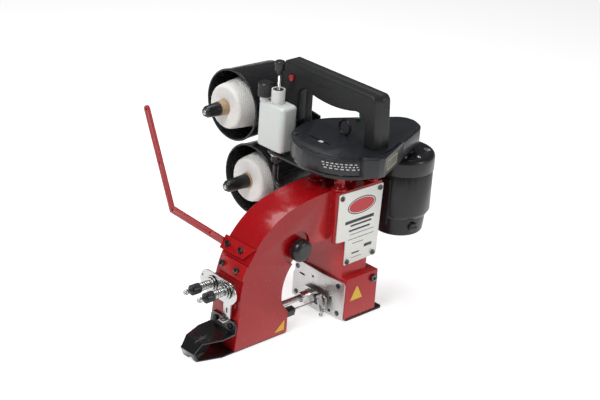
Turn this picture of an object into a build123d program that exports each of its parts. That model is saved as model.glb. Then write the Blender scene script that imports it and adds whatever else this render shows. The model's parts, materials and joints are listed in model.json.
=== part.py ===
from build123d import *
import os
from math import atan2, cos, pi, radians, sin, sqrt

# Portable bag closing machine: a C-shaped cast body with the needle leg at -X and the
# looper base at the origin. A vertical motor turns a vertical main shaft through a toothed
# belt under a cover, and a D-handle, an oil bottle and two thread cups sit on top.
# Millimetres. Z is up from the bench, X runs from the needle leg to the looper base.

# ---- driving dimensions -------------------------------------------------------------
LEG_X = -193.0            # outer foot corner of the needle leg
LEG_INNER_X = -104.2      # inner foot corner of the needle leg
BODY_HALF = 25.0          # half thickness of the cast arch
WALL = 6.0                # casting wall
FOOT_T = 2.5              # sheet of the shoe under the needle leg
THROAT_C = (-59.2, 59.2)  # centre of the round throat, X and Z
THROAT_R = 57.8
TOP_Z = 184.0             # top of the cast arch and column
COLUMN_X = (-41.0, 37.0)
COLUMN_LOW_X = (-24.0, 20.0)
COLUMN_Y = (-38.0, 25.0)
COLUMN_STEP_Z = 113.0
BASE_X = (-24.0, 33.0)
BASE_Y = (-48.0, 48.0)
BASE_Z = (3.0, 61.0)
BOSS_R = 21.0
DECK_Z = (207.0, 213.0)   # deck plate that carries motor, handle and thread cups
COVER_Z = (215.0, 239.0)  # belt cover
COVER_R = 69.0
COVER_C = (2.0, 0.0)
COVER_END = (95.0, -8.0)   # centre of the small end of the cover
COVER_SMALL_R = 27.0
MOTOR_C = (98.0, -16.0)
MOTOR_R = 41.0
SHAFT_R = 6.0
MAIN_TEETH = 60
MOTOR_TEETH = 16
BELT_PITCH = 5.08
NEEDLE_Y = -6.0
NEEDLE_Z = 17.0
PRESSER_Z = 31.5
NEEDLE_BAR_R = 5.0
PRESSER_BAR_R = 4.0
PIVOT = (-93.4, 117.0)    # needle lever pivot, X and Z
LEVER_HUB_R = 7.5
LEVER_Y = (-16.0, 4.0)    # the lever's two sides
DOG_AT = (-147.0, 23.5)   # driving pin on the needle bar, X and Z
HANDLE_X = (-2.0, 26.0)
HANDLE_TOP_Z = 308.0
CUPS = {"upper": (180.0, 231.0), "lower": (136.8, 138.5)}   # cup axes, Y and Z
CUP_X = (-33.0, 45.0)
CUP_R = 49.5
BOTTLE_X = (-51.0, -23.0)
BOTTLE_Y = (62.5, 110.5)
BOTTLE_Z = (204.0, 266.0)
STUDS_Y = (-7.0, 19.0)    # thread tension studs
STUD_Z = 82.0
GUIDE_Z = 128.5           # height of the thread guide's mounting plate
SIDE_COVER_Z = 107.0      # height of the small cover under it
PLATE_SINK = 1.0          # the plates on the arch lie this deep in flats milled into it
GUIDE_RIB_X = (-166.0, -158.5)   # rib inside the leg that guides the needle and presser bars
ROD_Z = 151.0             # height of the connecting rod
FEED_Z = (10.5, 24.0)     # the two feed rails
LOOPER_PIVOT = (12.0, 24.0)      # looper shaft, X and Y; it stands along Z inside the base
BEARING_R = 14.0
BEARING_Z = ((56.0, 64.0), (199.0, 207.0))   # main shaft bearings
BELT_Z = (220.0, 231.0)
BELT_T = 1.6
NEEDLE_BAR_X = (-182.0, -92.0)
MOTOR_Z = (93.0, 125.0, 181.0, 205.0)   # bell bottom, bell top, drum top, cap top
RIB_ANGLE = -167.0        # cable rib on the motor's drum, in degrees about the motor axis
RIB_W = 14.5
BRUSH_ANGLES = (-102.5, 77.5)    # brush holders, in degrees about the motor axis
BRUSH_Z = 107.0
NEAR_POST_Y = (-55.0, -35.0)     # the two posts of the handle
FAR_POST_Y = (86.0, 120.0)
FAR_POST_Z = 234.0
LOCK_AT = (100.0, 288.5)  # lock button on the far post, Y and Z
TRIGGER_Y = (-30.0, -17.0)
NECK_X = -37.0            # the bottle's pump neck and outlet lie in one X plane
PUMP_Y = 87.5
PUMP_NECK_R = 9.0
PUMP_NECK_TOP = 284.5
OUTLET_Y = 84.0
FILLER_AT = (-43.8, 105.4)       # filler neck, X and Y: it leans on the bottle's far corner
FILLER_R = 9.4
CONE_X = {"upper": (-46.0, 38.0), "lower": (-38.0, 38.0)}
CONE_R = (30.5, 39.5)     # wound thread at its front and back
CONE_BORE = (10.5, 16.0)
KNOB_X = {"upper": (-80.0, -57.0), "lower": (-76.0, -40.0)}
CORE_FRONT = {"upper": -56.5, "lower": -39.5}
TENSION_X = -196.5        # front face of the tension bracket
GAP = 0.3                 # clearance between parts that move on each other
FIT = 0.05                # radial clearance of shafts and sliding bars

# ---- helpers ------------------------------------------------------------------------


def block(x, y, z):
    """Box between two values on each axis."""
    size = (x[1] - x[0], y[1] - y[0], z[1] - z[0])
    return Pos((x[0] + x[1]) / 2, (y[0] + y[1]) / 2, (z[0] + z[1]) / 2) * Box(*size)


def rod(axis, span, at, r, r_end=None):
    """Round bar along an axis; at holds the other two coordinates in X, Y, Z order."""
    low = (Align.CENTER, Align.CENTER, Align.MIN)
    length = span[1] - span[0]
    body = Cylinder(r, length, align=low) if r_end is None else Cone(r, r_end, length, align=low)
    if axis == "X":
        return Pos(span[0], at[0], at[1]) * Rot(0, 90, 0) * body
    if axis == "Y":
        return Pos(at[0], span[0], at[1]) * Rot(-90, 0, 0) * body
    return Pos(at[0], at[1], span[0]) * body


def ring(axis, span, at, r_out, r_in):
    """Tube along an axis."""
    return rod(axis, span, at, r_out) - rod(axis, (span[0] - 1, span[1] + 1), at, r_in)


def hexagon(axis, span, at, across):
    """Hexagonal bar along X or Z."""
    face = RegularPolygon(across / sqrt(3), 6)
    if axis == "X":
        return Pos(span[0], at[0], at[1]) * Rot(0, 90, 0) * extrude(face, span[1] - span[0])
    return Pos(at[0], at[1], span[0]) * extrude(face, span[1] - span[0])


def plate_xz(edges, y):
    """Solid between two Y planes from an outline drawn in X and Z."""
    plane = Plane(origin=(0, y[1], 0), x_dir=(1, 0, 0), z_dir=(0, -1, 0))
    return extrude(plane * make_face(edges), y[1] - y[0])


def plate_yz(edges, x):
    """Solid between two X planes from an outline drawn in Y and Z."""
    plane = Plane(origin=(x[0], 0, 0), x_dir=(0, 1, 0), z_dir=(1, 0, 0))
    return extrude(plane * make_face(edges), x[1] - x[0])


def plate_xy(edges, z):
    """Solid between two Z planes from an outline drawn in X and Y."""
    return extrude(Plane(origin=(0, 0, z[0])) * make_face(edges), z[1] - z[0])


def chain(points):
    """Closed outline of straight lines."""
    return Polyline(*points, close=True)


def belt_line(a, ra, b, rb):
    """Closed outline wrapped tightly round two circles."""
    run = sqrt((b[0] - a[0]) ** 2 + (b[1] - a[1]) ** 2)
    aim = atan2(b[1] - a[1], b[0] - a[0])
    lean = pi / 2 - atan2(ra - rb, sqrt(run ** 2 - (ra - rb) ** 2))

    def on(c, r, angle):
        return (c[0] + r * cos(angle), c[1] + r * sin(angle))

    a1, a2 = on(a, ra, aim + lean), on(a, ra, aim - lean)
    b1, b2 = on(b, rb, aim + lean), on(b, rb, aim - lean)
    return (ThreePointArc(a1, on(a, ra, aim + pi), a2) + Line(a2, b2)
            + ThreePointArc(b2, on(b, rb, aim), b1) + Line(b1, a1))


def screw(base, direction, r_head, head, r_shank, shank, hexed=True):
    """Socket screw: its head stands on the base point, its shank goes back into the part."""
    body = Cylinder(r_head, head, align=(Align.CENTER, Align.CENTER, Align.MIN))
    if hexed:
        body -= Pos(0, 0, head * 0.45) * extrude(RegularPolygon(r_head * 0.5, 6), head)
    body += Pos(0, 0, -shank) * Cylinder(r_shank, shank, align=(Align.CENTER, Align.CENTER, Align.MIN))
    return Plane(origin=base, z_dir=direction) * body


# ---- cast body ----------------------------------------------------------------------

ARC_START = (-187.0, 58.0)
ARC_MID = (-163.0, 139.0)
ARC_END = (-105.0, 176.5)


def throat_point(r, angle):
    """Point on a circle about the throat centre."""
    return (THROAT_C[0] + r * cos(radians(angle)), THROAT_C[1] + r * sin(radians(angle)))


def arch_edges(inset, right, foot):
    """Outline of the arch, moved inwards by the wall thickness."""
    r = THROAT_R + inset
    outer = [(LEG_X + inset, foot), (ARC_START[0] + inset, ARC_START[1])]
    mid = (ARC_MID[0] + 0.75 * inset, ARC_MID[1] - 0.7 * inset)
    end = (ARC_END[0], ARC_END[1] - inset)
    crown = (COLUMN_X[0], TOP_Z - inset)
    inner = [throat_point(r, 193), (LEG_INNER_X - inset, 31 - inset * 0.4), (LEG_INNER_X - inset, foot)]
    edges = Line(outer[0], outer[1]) + ThreePointArc(outer[1], mid, end)
    edges += ThreePointArc(end, ((end[0] + crown[0]) / 2, (end[1] + crown[1]) / 2 + 1.6), crown)
    edges += Polyline(crown, (right, TOP_Z - inset), (right, THROAT_C[1] + r), (THROAT_C[0], THROAT_C[1] + r))
    edges += ThreePointArc((THROAT_C[0], THROAT_C[1] + r), throat_point(r, 150), inner[0])
    return edges + Polyline(inner[0], inner[1], inner[2], outer[0])


def on_outer_arc(z):
    """Point and outward direction on the outer surface of the arch at a height."""
    (x1, z1), (x2, z2), (x3, z3) = ARC_START, ARC_MID, ARC_END
    d = 2 * (x1 * (z2 - z3) + x2 * (z3 - z1) + x3 * (z1 - z2))
    s1, s2, s3 = x1 ** 2 + z1 ** 2, x2 ** 2 + z2 ** 2, x3 ** 2 + z3 ** 2
    cx = (s1 * (z2 - z3) + s2 * (z3 - z1) + s3 * (z1 - z2)) / d
    cz = (s1 * (x3 - x2) + s2 * (x1 - x3) + s3 * (x2 - x1)) / d
    r = sqrt((x1 - cx) ** 2 + (z1 - cz) ** 2)
    x = cx - sqrt(r ** 2 - (z - cz) ** 2)
    return (x, z), ((x - cx) / r, (z - cz) / r)


def skin_plane(z, lift=0.0):
    """Plane lying on the outer surface of the arch: local X is +Y, local Y is up the arch."""
    (x, z0), (nx, nz) = on_outer_arc(z)
    return Plane(origin=(x + nx * lift, 0, z0 + nz * lift), x_dir=(0, -1, 0), z_dir=(nx, 0, nz))


def frame_casting():
    column = block(COLUMN_X, COLUMN_Y, (COLUMN_STEP_Z, TOP_Z))
    column = fillet([e for e in column.edges().filter_by(Axis.Z)
                     if abs(e.center().X - COLUMN_X[0]) < 0.1 and e.center().Y < 0], 7)
    body = plate_xz(arch_edges(0, 0, FOOT_T), (-BODY_HALF, BODY_HALF)) + column
    body += block(COLUMN_LOW_X, COLUMN_Y, (BASE_Z[1] - 5, COLUMN_STEP_Z + 1))
    body += block((COLUMN_LOW_X[1] - 5, 34), (COLUMN_Y[0], COLUMN_Y[0] + 9), (78, 92))
    body += block(BASE_X, BASE_Y, BASE_Z)
    body += rod("Z", (TOP_Z - 5, DECK_Z[0]), (0, 0), BOSS_R)

    # hollows: arch and column from the back, base from below
    body -= plate_xz(arch_edges(WALL, -30, 8), (-BODY_HALF + WALL, BODY_HALF + 1))
    body -= block((COLUMN_X[0] + 5, COLUMN_X[1] - 5), (COLUMN_Y[0] + 5, BODY_HALF + 1), (123, TOP_Z - 7))
    body -= block((COLUMN_LOW_X[0] + 5, COLUMN_LOW_X[1] - 5), (COLUMN_Y[0] + 5, BODY_HALF + 1), (69, 124))
    body -= block((BASE_X[0] + 5, BASE_X[1] - 5), (BASE_Y[0] + 5, BASE_Y[1] - 5), (0, BASE_Z[1] - 5))
    body -= block((BASE_X[0] - 1, BASE_X[0] + 6), (-26, 32), (8, 46))

    # main shaft: clearance bore and two bearing seats; looper shaft: bore in the base's ceiling
    body -= rod("Z", (BASE_Z[0], DECK_Z[0] + 1), (0, 0), SHAFT_R + 1.5)
    body -= rod("Z", (50, BEARING_Z[0][1]), (0, 0), BEARING_R)
    body -= rod("Z", (BEARING_Z[1][0], DECK_Z[0] + 1), (0, 0), BEARING_R)
    body -= rod("Z", (50, 59), LOOPER_PIVOT, 4 + FIT)

    # round recess behind the pivot knob, open to the throat, and the lever's seat inside
    body += rod("Y", (-BODY_HALF + WALL - 1, -BODY_HALF + WALL + 2.7), PIVOT, 10)
    recess = rod("Y", (-BODY_HALF - 1, -BODY_HALF + 3), (PIVOT[0] - 3, PIVOT[1] + 3), 22)
    body -= recess - rod("Y", (-BODY_HALF - 2, -BODY_HALF + 4), PIVOT, 12)
    body -= rod("Y", (-BODY_HALF - 1, 0), PIVOT, 4 + FIT)
    body -= rod("Y", (LEVER_Y[0] - GAP, BODY_HALF + 1), PIVOT, LEVER_HUB_R + 0.8)

    # guide rib for the bars inside the leg, and the bores of needle bar and presser bar
    body += block(GUIDE_RIB_X, (-BODY_HALF + WALL - 1, 12), (7, 44))
    bore = (GUIDE_RIB_X[0] - 2, LEG_INNER_X + 2)
    body -= rod("X", bore, (NEEDLE_Y, NEEDLE_Z), NEEDLE_BAR_R + FIT)
    body -= rod("X", bore, (NEEDLE_Y, PRESSER_Z), PRESSER_BAR_R + FIT)

    # flats for the plates on the outer surface
    for z, height in ((GUIDE_Z, 20), (SIDE_COVER_Z, 21)):
        flat = Pos(0, 0, 5) * Box(2 * BODY_HALF + 20, height, 10)
        body -= skin_plane(z, -PLATE_SINK) * flat
    return body


def rear_cover():
    """Flat plate that closes the back of the arch and column."""
    plate = plate_xz(arch_edges(2, 0, 3), (BODY_HALF, BODY_HALF + 3))
    plate += block((COLUMN_X[0], COLUMN_X[1] - 2), (BODY_HALF, BODY_HALF + 3), (COLUMN_STEP_Z + 4, TOP_Z - 2))
    plate += block((COLUMN_LOW_X[0] + 2, COLUMN_LOW_X[1] - 2), (BODY_HALF, BODY_HALF + 3),
                   (64, COLUMN_STEP_Z + 5))
    return plate


REAR_SCREWS = ((-186, 12), (-112, 12), (-181, 66), (-124, 66), (-159, 130), (-100, 169), (-36, 178),
               (32, 178), (32, 122), (-19, 72), (15, 72), (-50, 121))


def rear_cover_screws():
    return [screw((x, BODY_HALF + 3, z), (0, 1, 0), 3.2, 2.6, 1.8, 6) for x, z in REAR_SCREWS]


def leg_side_cover():
    """Small plate on the outer surface of the arch that closes the take-up window."""
    return skin_plane(SIDE_COVER_Z, -PLATE_SINK) * (Pos(3, 0, 1.5) * Box(44, 20, 3))


BAR_BEND = (131.0, 134.5)
BAR_TIP = (187.0, 254.0)
BAR_W = 10.0
BAR_T = 2.6


def thread_guide_bar():
    """Flat bent bar with four thread eyes, and the plate that holds it on the arch."""
    plane = skin_plane(GUIDE_Z, -PLATE_SINK)
    x0 = plane.origin.X
    plate = plane * extrude(make_face(chain([(-30, -9.2), (-30, 9.2), (24, 9.2), (13, -9.2)])), 3)
    aim = atan2(BAR_TIP[1] - BAR_BEND[1], BAR_TIP[0] - BAR_BEND[0])
    side = (-sin(aim) * BAR_W / 2, cos(aim) * BAR_W / 2)
    low = (BAR_BEND[0] + 2.5, BAR_BEND[1] - BAR_W / 2)
    high = (BAR_BEND[0] - 3.4, BAR_BEND[1] + BAR_W / 2)
    outline = [(28.7, GUIDE_Z - 4.5), low, (BAR_TIP[0] - side[0], BAR_TIP[1] - side[1]),
               (BAR_TIP[0] + side[0], BAR_TIP[1] + side[1]), high, (28.7, GUIDE_Z + 5.5)]
    bar = plate_yz(chain(outline), (x0 - BAR_T - 0.4, x0 - 0.4))
    bar += rod("X", (x0 - BAR_T - 0.4, x0 - 0.4), BAR_TIP, BAR_W / 2)
    body = bar + plate
    for y, z in ((54, 131.5), (128, 134.5), (157, 190), BAR_TIP):
        body -= rod("X", (x0 - 20, x0 + 10), (y, z), 1.6)
    return body


def side_plate_screws():
    """Four socket screws: two through the guide plate and two through the cover under it."""
    made = []
    for z, ys in ((GUIDE_Z, (19.5, -5)), (SIDE_COVER_Z, (16, -11))):
        (x, z0), (nx, nz) = on_outer_arc(z)
        lift = 3 - PLATE_SINK
        for y in ys:
            made.append(screw((x + nx * lift, y, z0 + nz * lift), (nx, 0, nz), 3.8, 3.4, 2, 6))
    return made


def leg_face(z):
    """X of the flat outer face at the bottom of the leg."""
    return LEG_X + (ARC_START[0] - LEG_X) * (z - FOOT_T) / (ARC_START[1] - FOOT_T)


def leg_foot():
    """Folded sheet shoe: flange on the leg, level top, sloping nose and a sole under the leg."""
    t = FOOT_T
    outer = [(leg_face(42), 42), (leg_face(42) - t, 42), (leg_face(27) - t, 27), (-239, 25),
             (-250, 12), (-245, 0)]
    inner = [(LEG_INNER_X, 0), (LEG_INNER_X, t), (-243, t), (-247, 12), (-238, 22.6), (leg_face(24), 24.4)]
    shell = plate_xz(chain(outer + inner), (-24, 24))
    for s in (-1, 1):
        corner = [(-260, s * 30), (-260, s * 13), (-247, s * 13), (-212, s * 24.1), (-212, s * 30)]
        shell -= plate_xy(chain(corner), (-1, 60))
        flange = [(-19.5 * s, 43), (-24.5 * s, 36), (-24.5 * s, 43)]
        shell -= plate_yz(chain(flange), (-200, -180))
    shell -= block((-241, -224), (-9, -5), (10, 40))
    shell -= block((-252, -241), (-6, 2), (-1, 4))
    return shell


def foot_screws():
    x = leg_face(34.5) - FOOT_T
    return [screw((x, y, 34.5), (-1, 0, 0), 3.6, 2.4, 2, 5) for y in (15.0, -13.5)]


# ---- looper base and stitch forming parts -------------------------------------------

PLATE_X = BASE_X[0]
RIDGE_Y = -9.0           # the throat plate's bend
RIDGE_RISE = 3.0


def base_plate():
    """Black sole plate of the looper base."""
    plate = block((BASE_X[0] + 2, BASE_X[1] + 13), (BASE_Y[0] - 1, BASE_Y[1] + 1), (0, BASE_Z[0]))
    plate = fillet(plate.edges().filter_by(Axis.Z), 4)
    for y in (-30, 30):
        plate -= rod("Z", (-1, 5), (BASE_X[1] + 7, y), 2.3)
    return plate


def throat_plate():
    """Bright plate on the base, slightly bent on both sides of the needle line."""
    t = 2.0
    front, back = BASE_Y[0] + 1, BASE_Y[1] + 1
    plan = [(PLATE_X, front), (PLATE_X, back), (PLATE_X - t, back), (PLATE_X - t - RIDGE_RISE, RIDGE_Y),
            (PLATE_X - t, front)]
    plate = plate_xy(chain(plan), (2.0, 56.0))
    back_cut = [(back - 8, 57), (back + 1, 57), (back + 1, 34), (back - 3, 40), (back - 3, 50)]
    plate -= plate_yz(chain(back_cut), (PLATE_X - 8, PLATE_X + 2))
    front_cut = [(front - 1, 57), (front + 4, 57), (front - 1, 52)]
    plate -= plate_yz(chain(front_cut), (PLATE_X - 8, PLATE_X + 2))
    span = (PLATE_X - 9, PLATE_X + 2)
    plate -= block(span, (-25.5, -21.5), (24.5, 28.5))
    plate -= block(span, (-25.5, -21.5), (6.5, 10.5))
    plate -= block(span, (8, 12), (43, 45.5))
    plate -= block(span, (26, 36), (38, 40.5))
    plate -= rod("X", span, (NEEDLE_Y, NEEDLE_Z), 2.5)
    for z in FEED_Z:
        plate -= block(span, (-14, 24), (z - 2.2, z + 2.2))
    return plate


def feed_dog():
    """Two toothed feed rails on a carrier; the rails pass through the slots of the throat plate."""
    body = block((PLATE_X + 4, PLATE_X + 9), (-1, 14), (8.6, 25.8))
    body += block((PLATE_X + 8, PLATE_X + 13.5), (0, 8), (12, 22))
    for z in FEED_Z:
        rail = block((PLATE_X - 3.4, PLATE_X + 5), (-6, 14), (z - 1.4, z + 1.4))
        for k in range(6):
            rail -= Pos(PLATE_X - 4.2, -4.5 + 3.4 * k, z) * Rot(0, 0, 45) * Box(2, 2, 4)
        body += rail
    return body


THROAT_SCREWS = ((41.0, 47.0), (-36.0, 48.5), (-37.0, 9.0), (41.0, 9.0))


def throat_plate_screws():
    made = []
    for y, z in THROAT_SCREWS:
        edge = BASE_Y[1] + 1 if y > 0 else BASE_Y[0] + 1
        rise = RIDGE_RISE * (y - edge) / (RIDGE_Y - edge)
        made.append(screw((PLATE_X - 1.9 - rise, y, z), (-1, 0, 0), 3.4, 0.9, 2, 6, False))
    return made


def base_cap_screw():
    return [screw((24, BASE_Y[0], 51), (0, -1, 0), 5.0, 4.0, 2.5, 4.5)]


def base_screws():
    """Screws that hold the sole plate."""
    made = []
    for x in (BASE_X[0] + 2.5, BASE_X[1] - 2.5):
        for y in (BASE_Y[0] + 2.5, BASE_Y[1] - 2.5):
            made.append(rod("Z", (0.4, 12), (x, y), 1.6))
    return made


def looper_shaft():
    """Upright shaft of the looper with its crank arm."""
    x, y = LOOPER_PIVOT
    body = rod("Z", (8, 58.5), (x, y), 4)
    body += rod("Z", (38, 46), (x, y), 8) + block((x - 4, x + 4), (y - 20, y), (39, 45))
    return body


def looper():
    """Curved blade that catches the needle's loop, with its hub on the looper shaft."""
    x, y = LOOPER_PIVOT
    hub = ring("Z", (NEEDLE_Z - 5, NEEDLE_Z + 5), (x, y), 7.5, 4)
    arm = block((x - 20, x - 5), (y - 3, y + 3), (NEEDLE_Z - 3, NEEDLE_Z + 3))
    blade = plate_xy(chain([(x - 20, y - 2), (x - 14.5, y - 2), (x - 17, y - 17), (x - 13, y - 27),
                            (x - 16.5, y - 26), (x - 21.5, y - 17)]), (NEEDLE_Z + 3.4, NEEDLE_Z + 6))
    blade += block((x - 20, x - 14.5), (y - 3, y + 3), (NEEDLE_Z + 2, NEEDLE_Z + 6))
    return hub + arm + blade


def needle_bar():
    """Bar that carries the needle; the pin of its driving dog runs in the needle lever's fork."""
    bar = rod("X", NEEDLE_BAR_X, (NEEDLE_Y, NEEDLE_Z), NEEDLE_BAR_R)
    bar -= rod("X", (-110, -91), (NEEDLE_Y, NEEDLE_Z), 1.5)
    dog = (DOG_AT[0] - 4, DOG_AT[0] + 4)
    bar += block(dog, (NEEDLE_Y - 5.2, NEEDLE_Y + 5.2), (NEEDLE_Z + 2, DOG_AT[1] + 2.3))
    bar += rod("Y", LEVER_Y, DOG_AT, 1.6)
    return bar


def needle_clamp_nut():
    """Black hexagon nut that clamps the needle in the bar."""
    nut = hexagon("X", (-91.5, -79), (NEEDLE_Y, NEEDLE_Z), 13)
    nut -= rod("X", (-92, -78), (NEEDLE_Y, NEEDLE_Z), 1.5)
    nut += ring("X", (-79, -76), (NEEDLE_Y, NEEDLE_Z), 4.5, 1.5)
    return nut


def needle():
    """Shank with a slim pointed blade."""
    at = (NEEDLE_Y, NEEDLE_Z)
    body = rod("X", (-109, -66), at, 1.5) + rod("X", (-66, -37), at, 1.1) + rod("X", (-37, -31), at, 1.1, 0.2)
    return body - rod("Y", (NEEDLE_Y - 3, NEEDLE_Y + 3), (-41, NEEDLE_Z), 0.45)


def presser_bar():
    bar = rod("X", (-170, -52), (NEEDLE_Y, PRESSER_Z), PRESSER_BAR_R)
    return bar + rod("X", (-126, -122), (NEEDLE_Y, PRESSER_Z), 5.2)


def presser_spring():
    """Spring round the presser bar, as a plain sleeve between the rib and the collar."""
    return ring("X", (GUIDE_RIB_X[1] + 0.5, -126.5), (NEEDLE_Y, PRESSER_Z), 5.1, 4.4)


def presser_foot():
    """Polished foot: a clamp on the bar, a bridge and a sole with a needle slot and bent guide wire."""
    y, z = NEEDLE_Y, PRESSER_Z
    body = ring("X", (-66, -50), (y, z), 6.5, 4)
    bridge = [(-52, 27), (-52, 36), (-44, 36), (-35, 30), (-35, 24), (-44, 26)]
    body += plate_xz(chain(bridge), (y - 6, y + 6))
    body -= rod("X", (-70, -52), (y, z), 4)
    sole_plan = [(y - 17, 7), (y - 17, 27), (y - 10, 31), (y + 22, 31), (y + 32, 24), (y + 32, 10),
                 (y + 22, 4), (y - 10, 4)]
    body += plate_yz(chain(sole_plan), (-35.5, -32.5))
    for s in (-1, 1):
        body += plate_xz(chain([(-44, 31), (-35, 31), (-35, 8), (-37, 8)]), (y + s * 9 - 1, y + s * 9 + 1))
    body -= block((-60, -30), (y - 3.5, y + 3.5), (z - 19, z - 8.5))
    body += rod("Z", (2, 10), (-38.5, y - 14), 1.6) + Pos(-38.5, y - 14, 3.2) * Sphere(3.0)
    body += rod("X", (-38.5, -33), (y - 14, 9.5), 1.6)
    return body


# ---- drive ----------------------------------------------------------------------------


def main_shaft():
    """Vertical main shaft with the needle eccentric, the looper crank disc and a collar."""
    shaft = rod("Z", (30, 234), (0, 0), SHAFT_R)
    shaft += rod("Z", (146, 156), (4, 0), 11)
    return shaft + rod("Z", (30, 36), (0, 0), 13) + rod("Z", (69.3, 74), (0, 0), 9)


def bearing(z):
    """Ball bearing: two races and nine balls."""
    outer = ring("Z", z, (0, 0), BEARING_R, 11.4)
    inner = ring("Z", z, (0, 0), 8.4, SHAFT_R + FIT)
    mid = (z[0] + z[1]) / 2
    return [outer, inner] + [Pos(9.9 * cos(a), 9.9 * sin(a), mid) * Sphere(1.6)
                             for a in (2 * pi * k / 9 for k in range(9))]


def toothed_wheel(centre, teeth, z, bore, flange):
    """Toothed belt pulley with two flanges."""
    r = teeth * BELT_PITCH / (2 * pi) - 0.3
    points = []
    for k in range(teeth):
        for step, depth in ((0.0, 0.0), (0.42, 0.0), (0.55, 1.3), (0.87, 1.3)):
            a = 2 * pi * (k + step) / teeth
            points.append((centre[0] + (r - depth) * cos(a), centre[1] + (r - depth) * sin(a)))
    body = plate_xy(chain(points), z)
    for zf in ((z[0] - 1.2, z[0]), (z[1], z[1] + 1.2)):
        body += rod("Z", zf, centre, r + flange)
    return body - rod("Z", (z[0] - 5, z[1] + 5), centre, bore)


def driven_pulley():
    """Large pulley with lightening holes; its hub reaches the end of the main shaft."""
    body = toothed_wheel((0, 0), MAIN_TEETH, BELT_Z, SHAFT_R, 2.0)
    body += ring("Z", (BELT_Z[0] - 4, BELT_Z[0]), (0, 0), 12, SHAFT_R)
    for k in range(5):
        a = 2 * pi * k / 5
        body -= rod("Z", (210, 240), (28 * cos(a), 28 * sin(a)), 9)
    return body


def motor_pulley():
    body = toothed_wheel(MOTOR_C, MOTOR_TEETH, BELT_Z, 4.0, 1.6)
    return body + ring("Z", (BELT_Z[0] - 4, BELT_Z[0] - 1.2), MOTOR_C, 8, 4.0)


def timing_belt():
    """Toothed belt, drawn as a smooth band just clear of both pulleys."""
    r_main = MAIN_TEETH * BELT_PITCH / (2 * pi)
    r_motor = MOTOR_TEETH * BELT_PITCH / (2 * pi)
    z = (BELT_Z[0] + 0.5, BELT_Z[1] - 0.5)
    outside = plate_xy(belt_line((0, 0), r_main + BELT_T, MOTOR_C, r_motor + BELT_T), z)
    return outside - plate_xy(belt_line((0, 0), r_main, MOTOR_C, r_motor), (z[0] - 1, z[1] + 1))


def motor_bell():
    """Lower end bell with the bearing pocket and the two brush holders."""
    z0, z1 = MOTOR_Z[0], MOTOR_Z[1]
    bell = rod("Z", (z0, z1), MOTOR_C, 33.5, 36.5)
    bell = fillet(bell.faces().sort_by(Axis.Z)[0].edges(), 4)
    bell -= rod("Z", (z0 + 4, z1 + 1), MOTOR_C, 30, 33)
    bell += ring("Z", (z0 + 3, z0 + 13), MOTOR_C, 14, 11)
    for angle in BRUSH_ANGLES:
        bell -= around_motor(rod("X", (0, 60), (0, 0), 6), angle)
    return bell


def around_motor(solid, angle):
    """Places a solid drawn along +X from the motor axis at brush height."""
    return Pos(MOTOR_C[0], MOTOR_C[1], BRUSH_Z) * Rot(0, 0, angle) * solid


def brush_sets():
    """Screw caps of the brush holders and the carbon brushes under them."""
    made = []
    for angle in BRUSH_ANGLES:
        cap = rod("X", (30, 36.5), (0, 0), 6) + rod("X", (36.5, 38.5), (0, 0), 6.5, 5.2)
        cap -= block((37.5, 40), (-5, 5), (-0.7, 0.7))
        cap -= block((29, 34), (-3.1, 3.1), (-3.1, 3.1))
        made.append(around_motor(cap, angle))
        made.append(around_motor(block((12.4, 33.9), (-3, 3), (-3, 3)), angle))
    return made


def motor_drum():
    """Drum of the motor with a flat cable rib on the side that faces the column."""
    z0, z1 = MOTOR_Z[1], MOTOR_Z[2]
    drum = ring("Z", (z0, z1), MOTOR_C, MOTOR_R, MOTOR_R - 3)
    rib_z = (z0 - 13 - BRUSH_Z, z1 - 5 - BRUSH_Z)
    rib = around_motor(block((MOTOR_R - 2, MOTOR_R + 2), (-RIB_W / 2, RIB_W / 2), rib_z), RIB_ANGLE)
    drum += rib - rod("Z", (z0 - 14, z1 + 1), MOTOR_C, MOTOR_R - 1)
    drum += rod("Z", (z0 - 6, z0), MOTOR_C, 37.6, MOTOR_R) - rod("Z", (z0 - 7, z0), MOTOR_C, 36.6)
    return drum + ring("Z", (z0, z0 + 3), MOTOR_C, MOTOR_R - 1, 33)


def motor_cap():
    """Top cap: a rounded lid with the neck that is screwed under the deck plate."""
    z0, z1 = MOTOR_Z[2], MOTOR_Z[3]
    cap = rod("Z", (z0, z1), MOTOR_C, MOTOR_R + 0.8)
    cap = fillet(cap.faces().sort_by(Axis.Z)[-1].edges(), 7)
    cap -= rod("Z", (z0 - 1, z1 - 5), MOTOR_C, MOTOR_R - 4)
    cap += ring("Z", (z1 - 1, DECK_Z[0]), MOTOR_C, 16, 8)
    cap += ring("Z", (z1 - 16, z1 - 4), MOTOR_C, 14, 11)
    cap -= rod("Z", (z0 - 1, DECK_Z[1]), MOTOR_C, 8)
    cap -= rod("Z", (z1 - 14, z1 - 4.9), MOTOR_C, 11)
    return cap


def motor_stator():
    """Field stack with two wound poles."""
    body = ring("Z", (134, 172), MOTOR_C, MOTOR_R - 3, 31)
    for side in (-31, 31):
        middle = MOTOR_C[1] + side
        pole = block((MOTOR_C[0] - 12, MOTOR_C[0] + 12), (middle - 6, middle + 6), (134, 172))
        body += pole & ring("Z", (134, 172), MOTOR_C, 33, 26)
    return body


def motor_armature():
    """Shaft, laminated armature and commutator."""
    body = rod("Z", (97, 233), MOTOR_C, 4) + rod("Z", (134, 172), MOTOR_C, 25.4)
    for k in range(12):
        body -= around_motor(block((21, 27), (-1.2, 1.2), (133 - BRUSH_Z, 173 - BRUSH_Z)), 30 * k)
    return body + rod("Z", (112, 128), MOTOR_C, 12) - ring("Z", (119.5, 120.5), MOTOR_C, 13, 11.2)


def ball_bearings():
    """Bearings of the main shaft and, drawn as closed sealed units, of the motor."""
    made = bearing(BEARING_Z[0]) + bearing(BEARING_Z[1])
    return made + [ring("Z", z, MOTOR_C, 11, 4 + FIT) for z in ((98, 105), (191.2, 198))]


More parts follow.
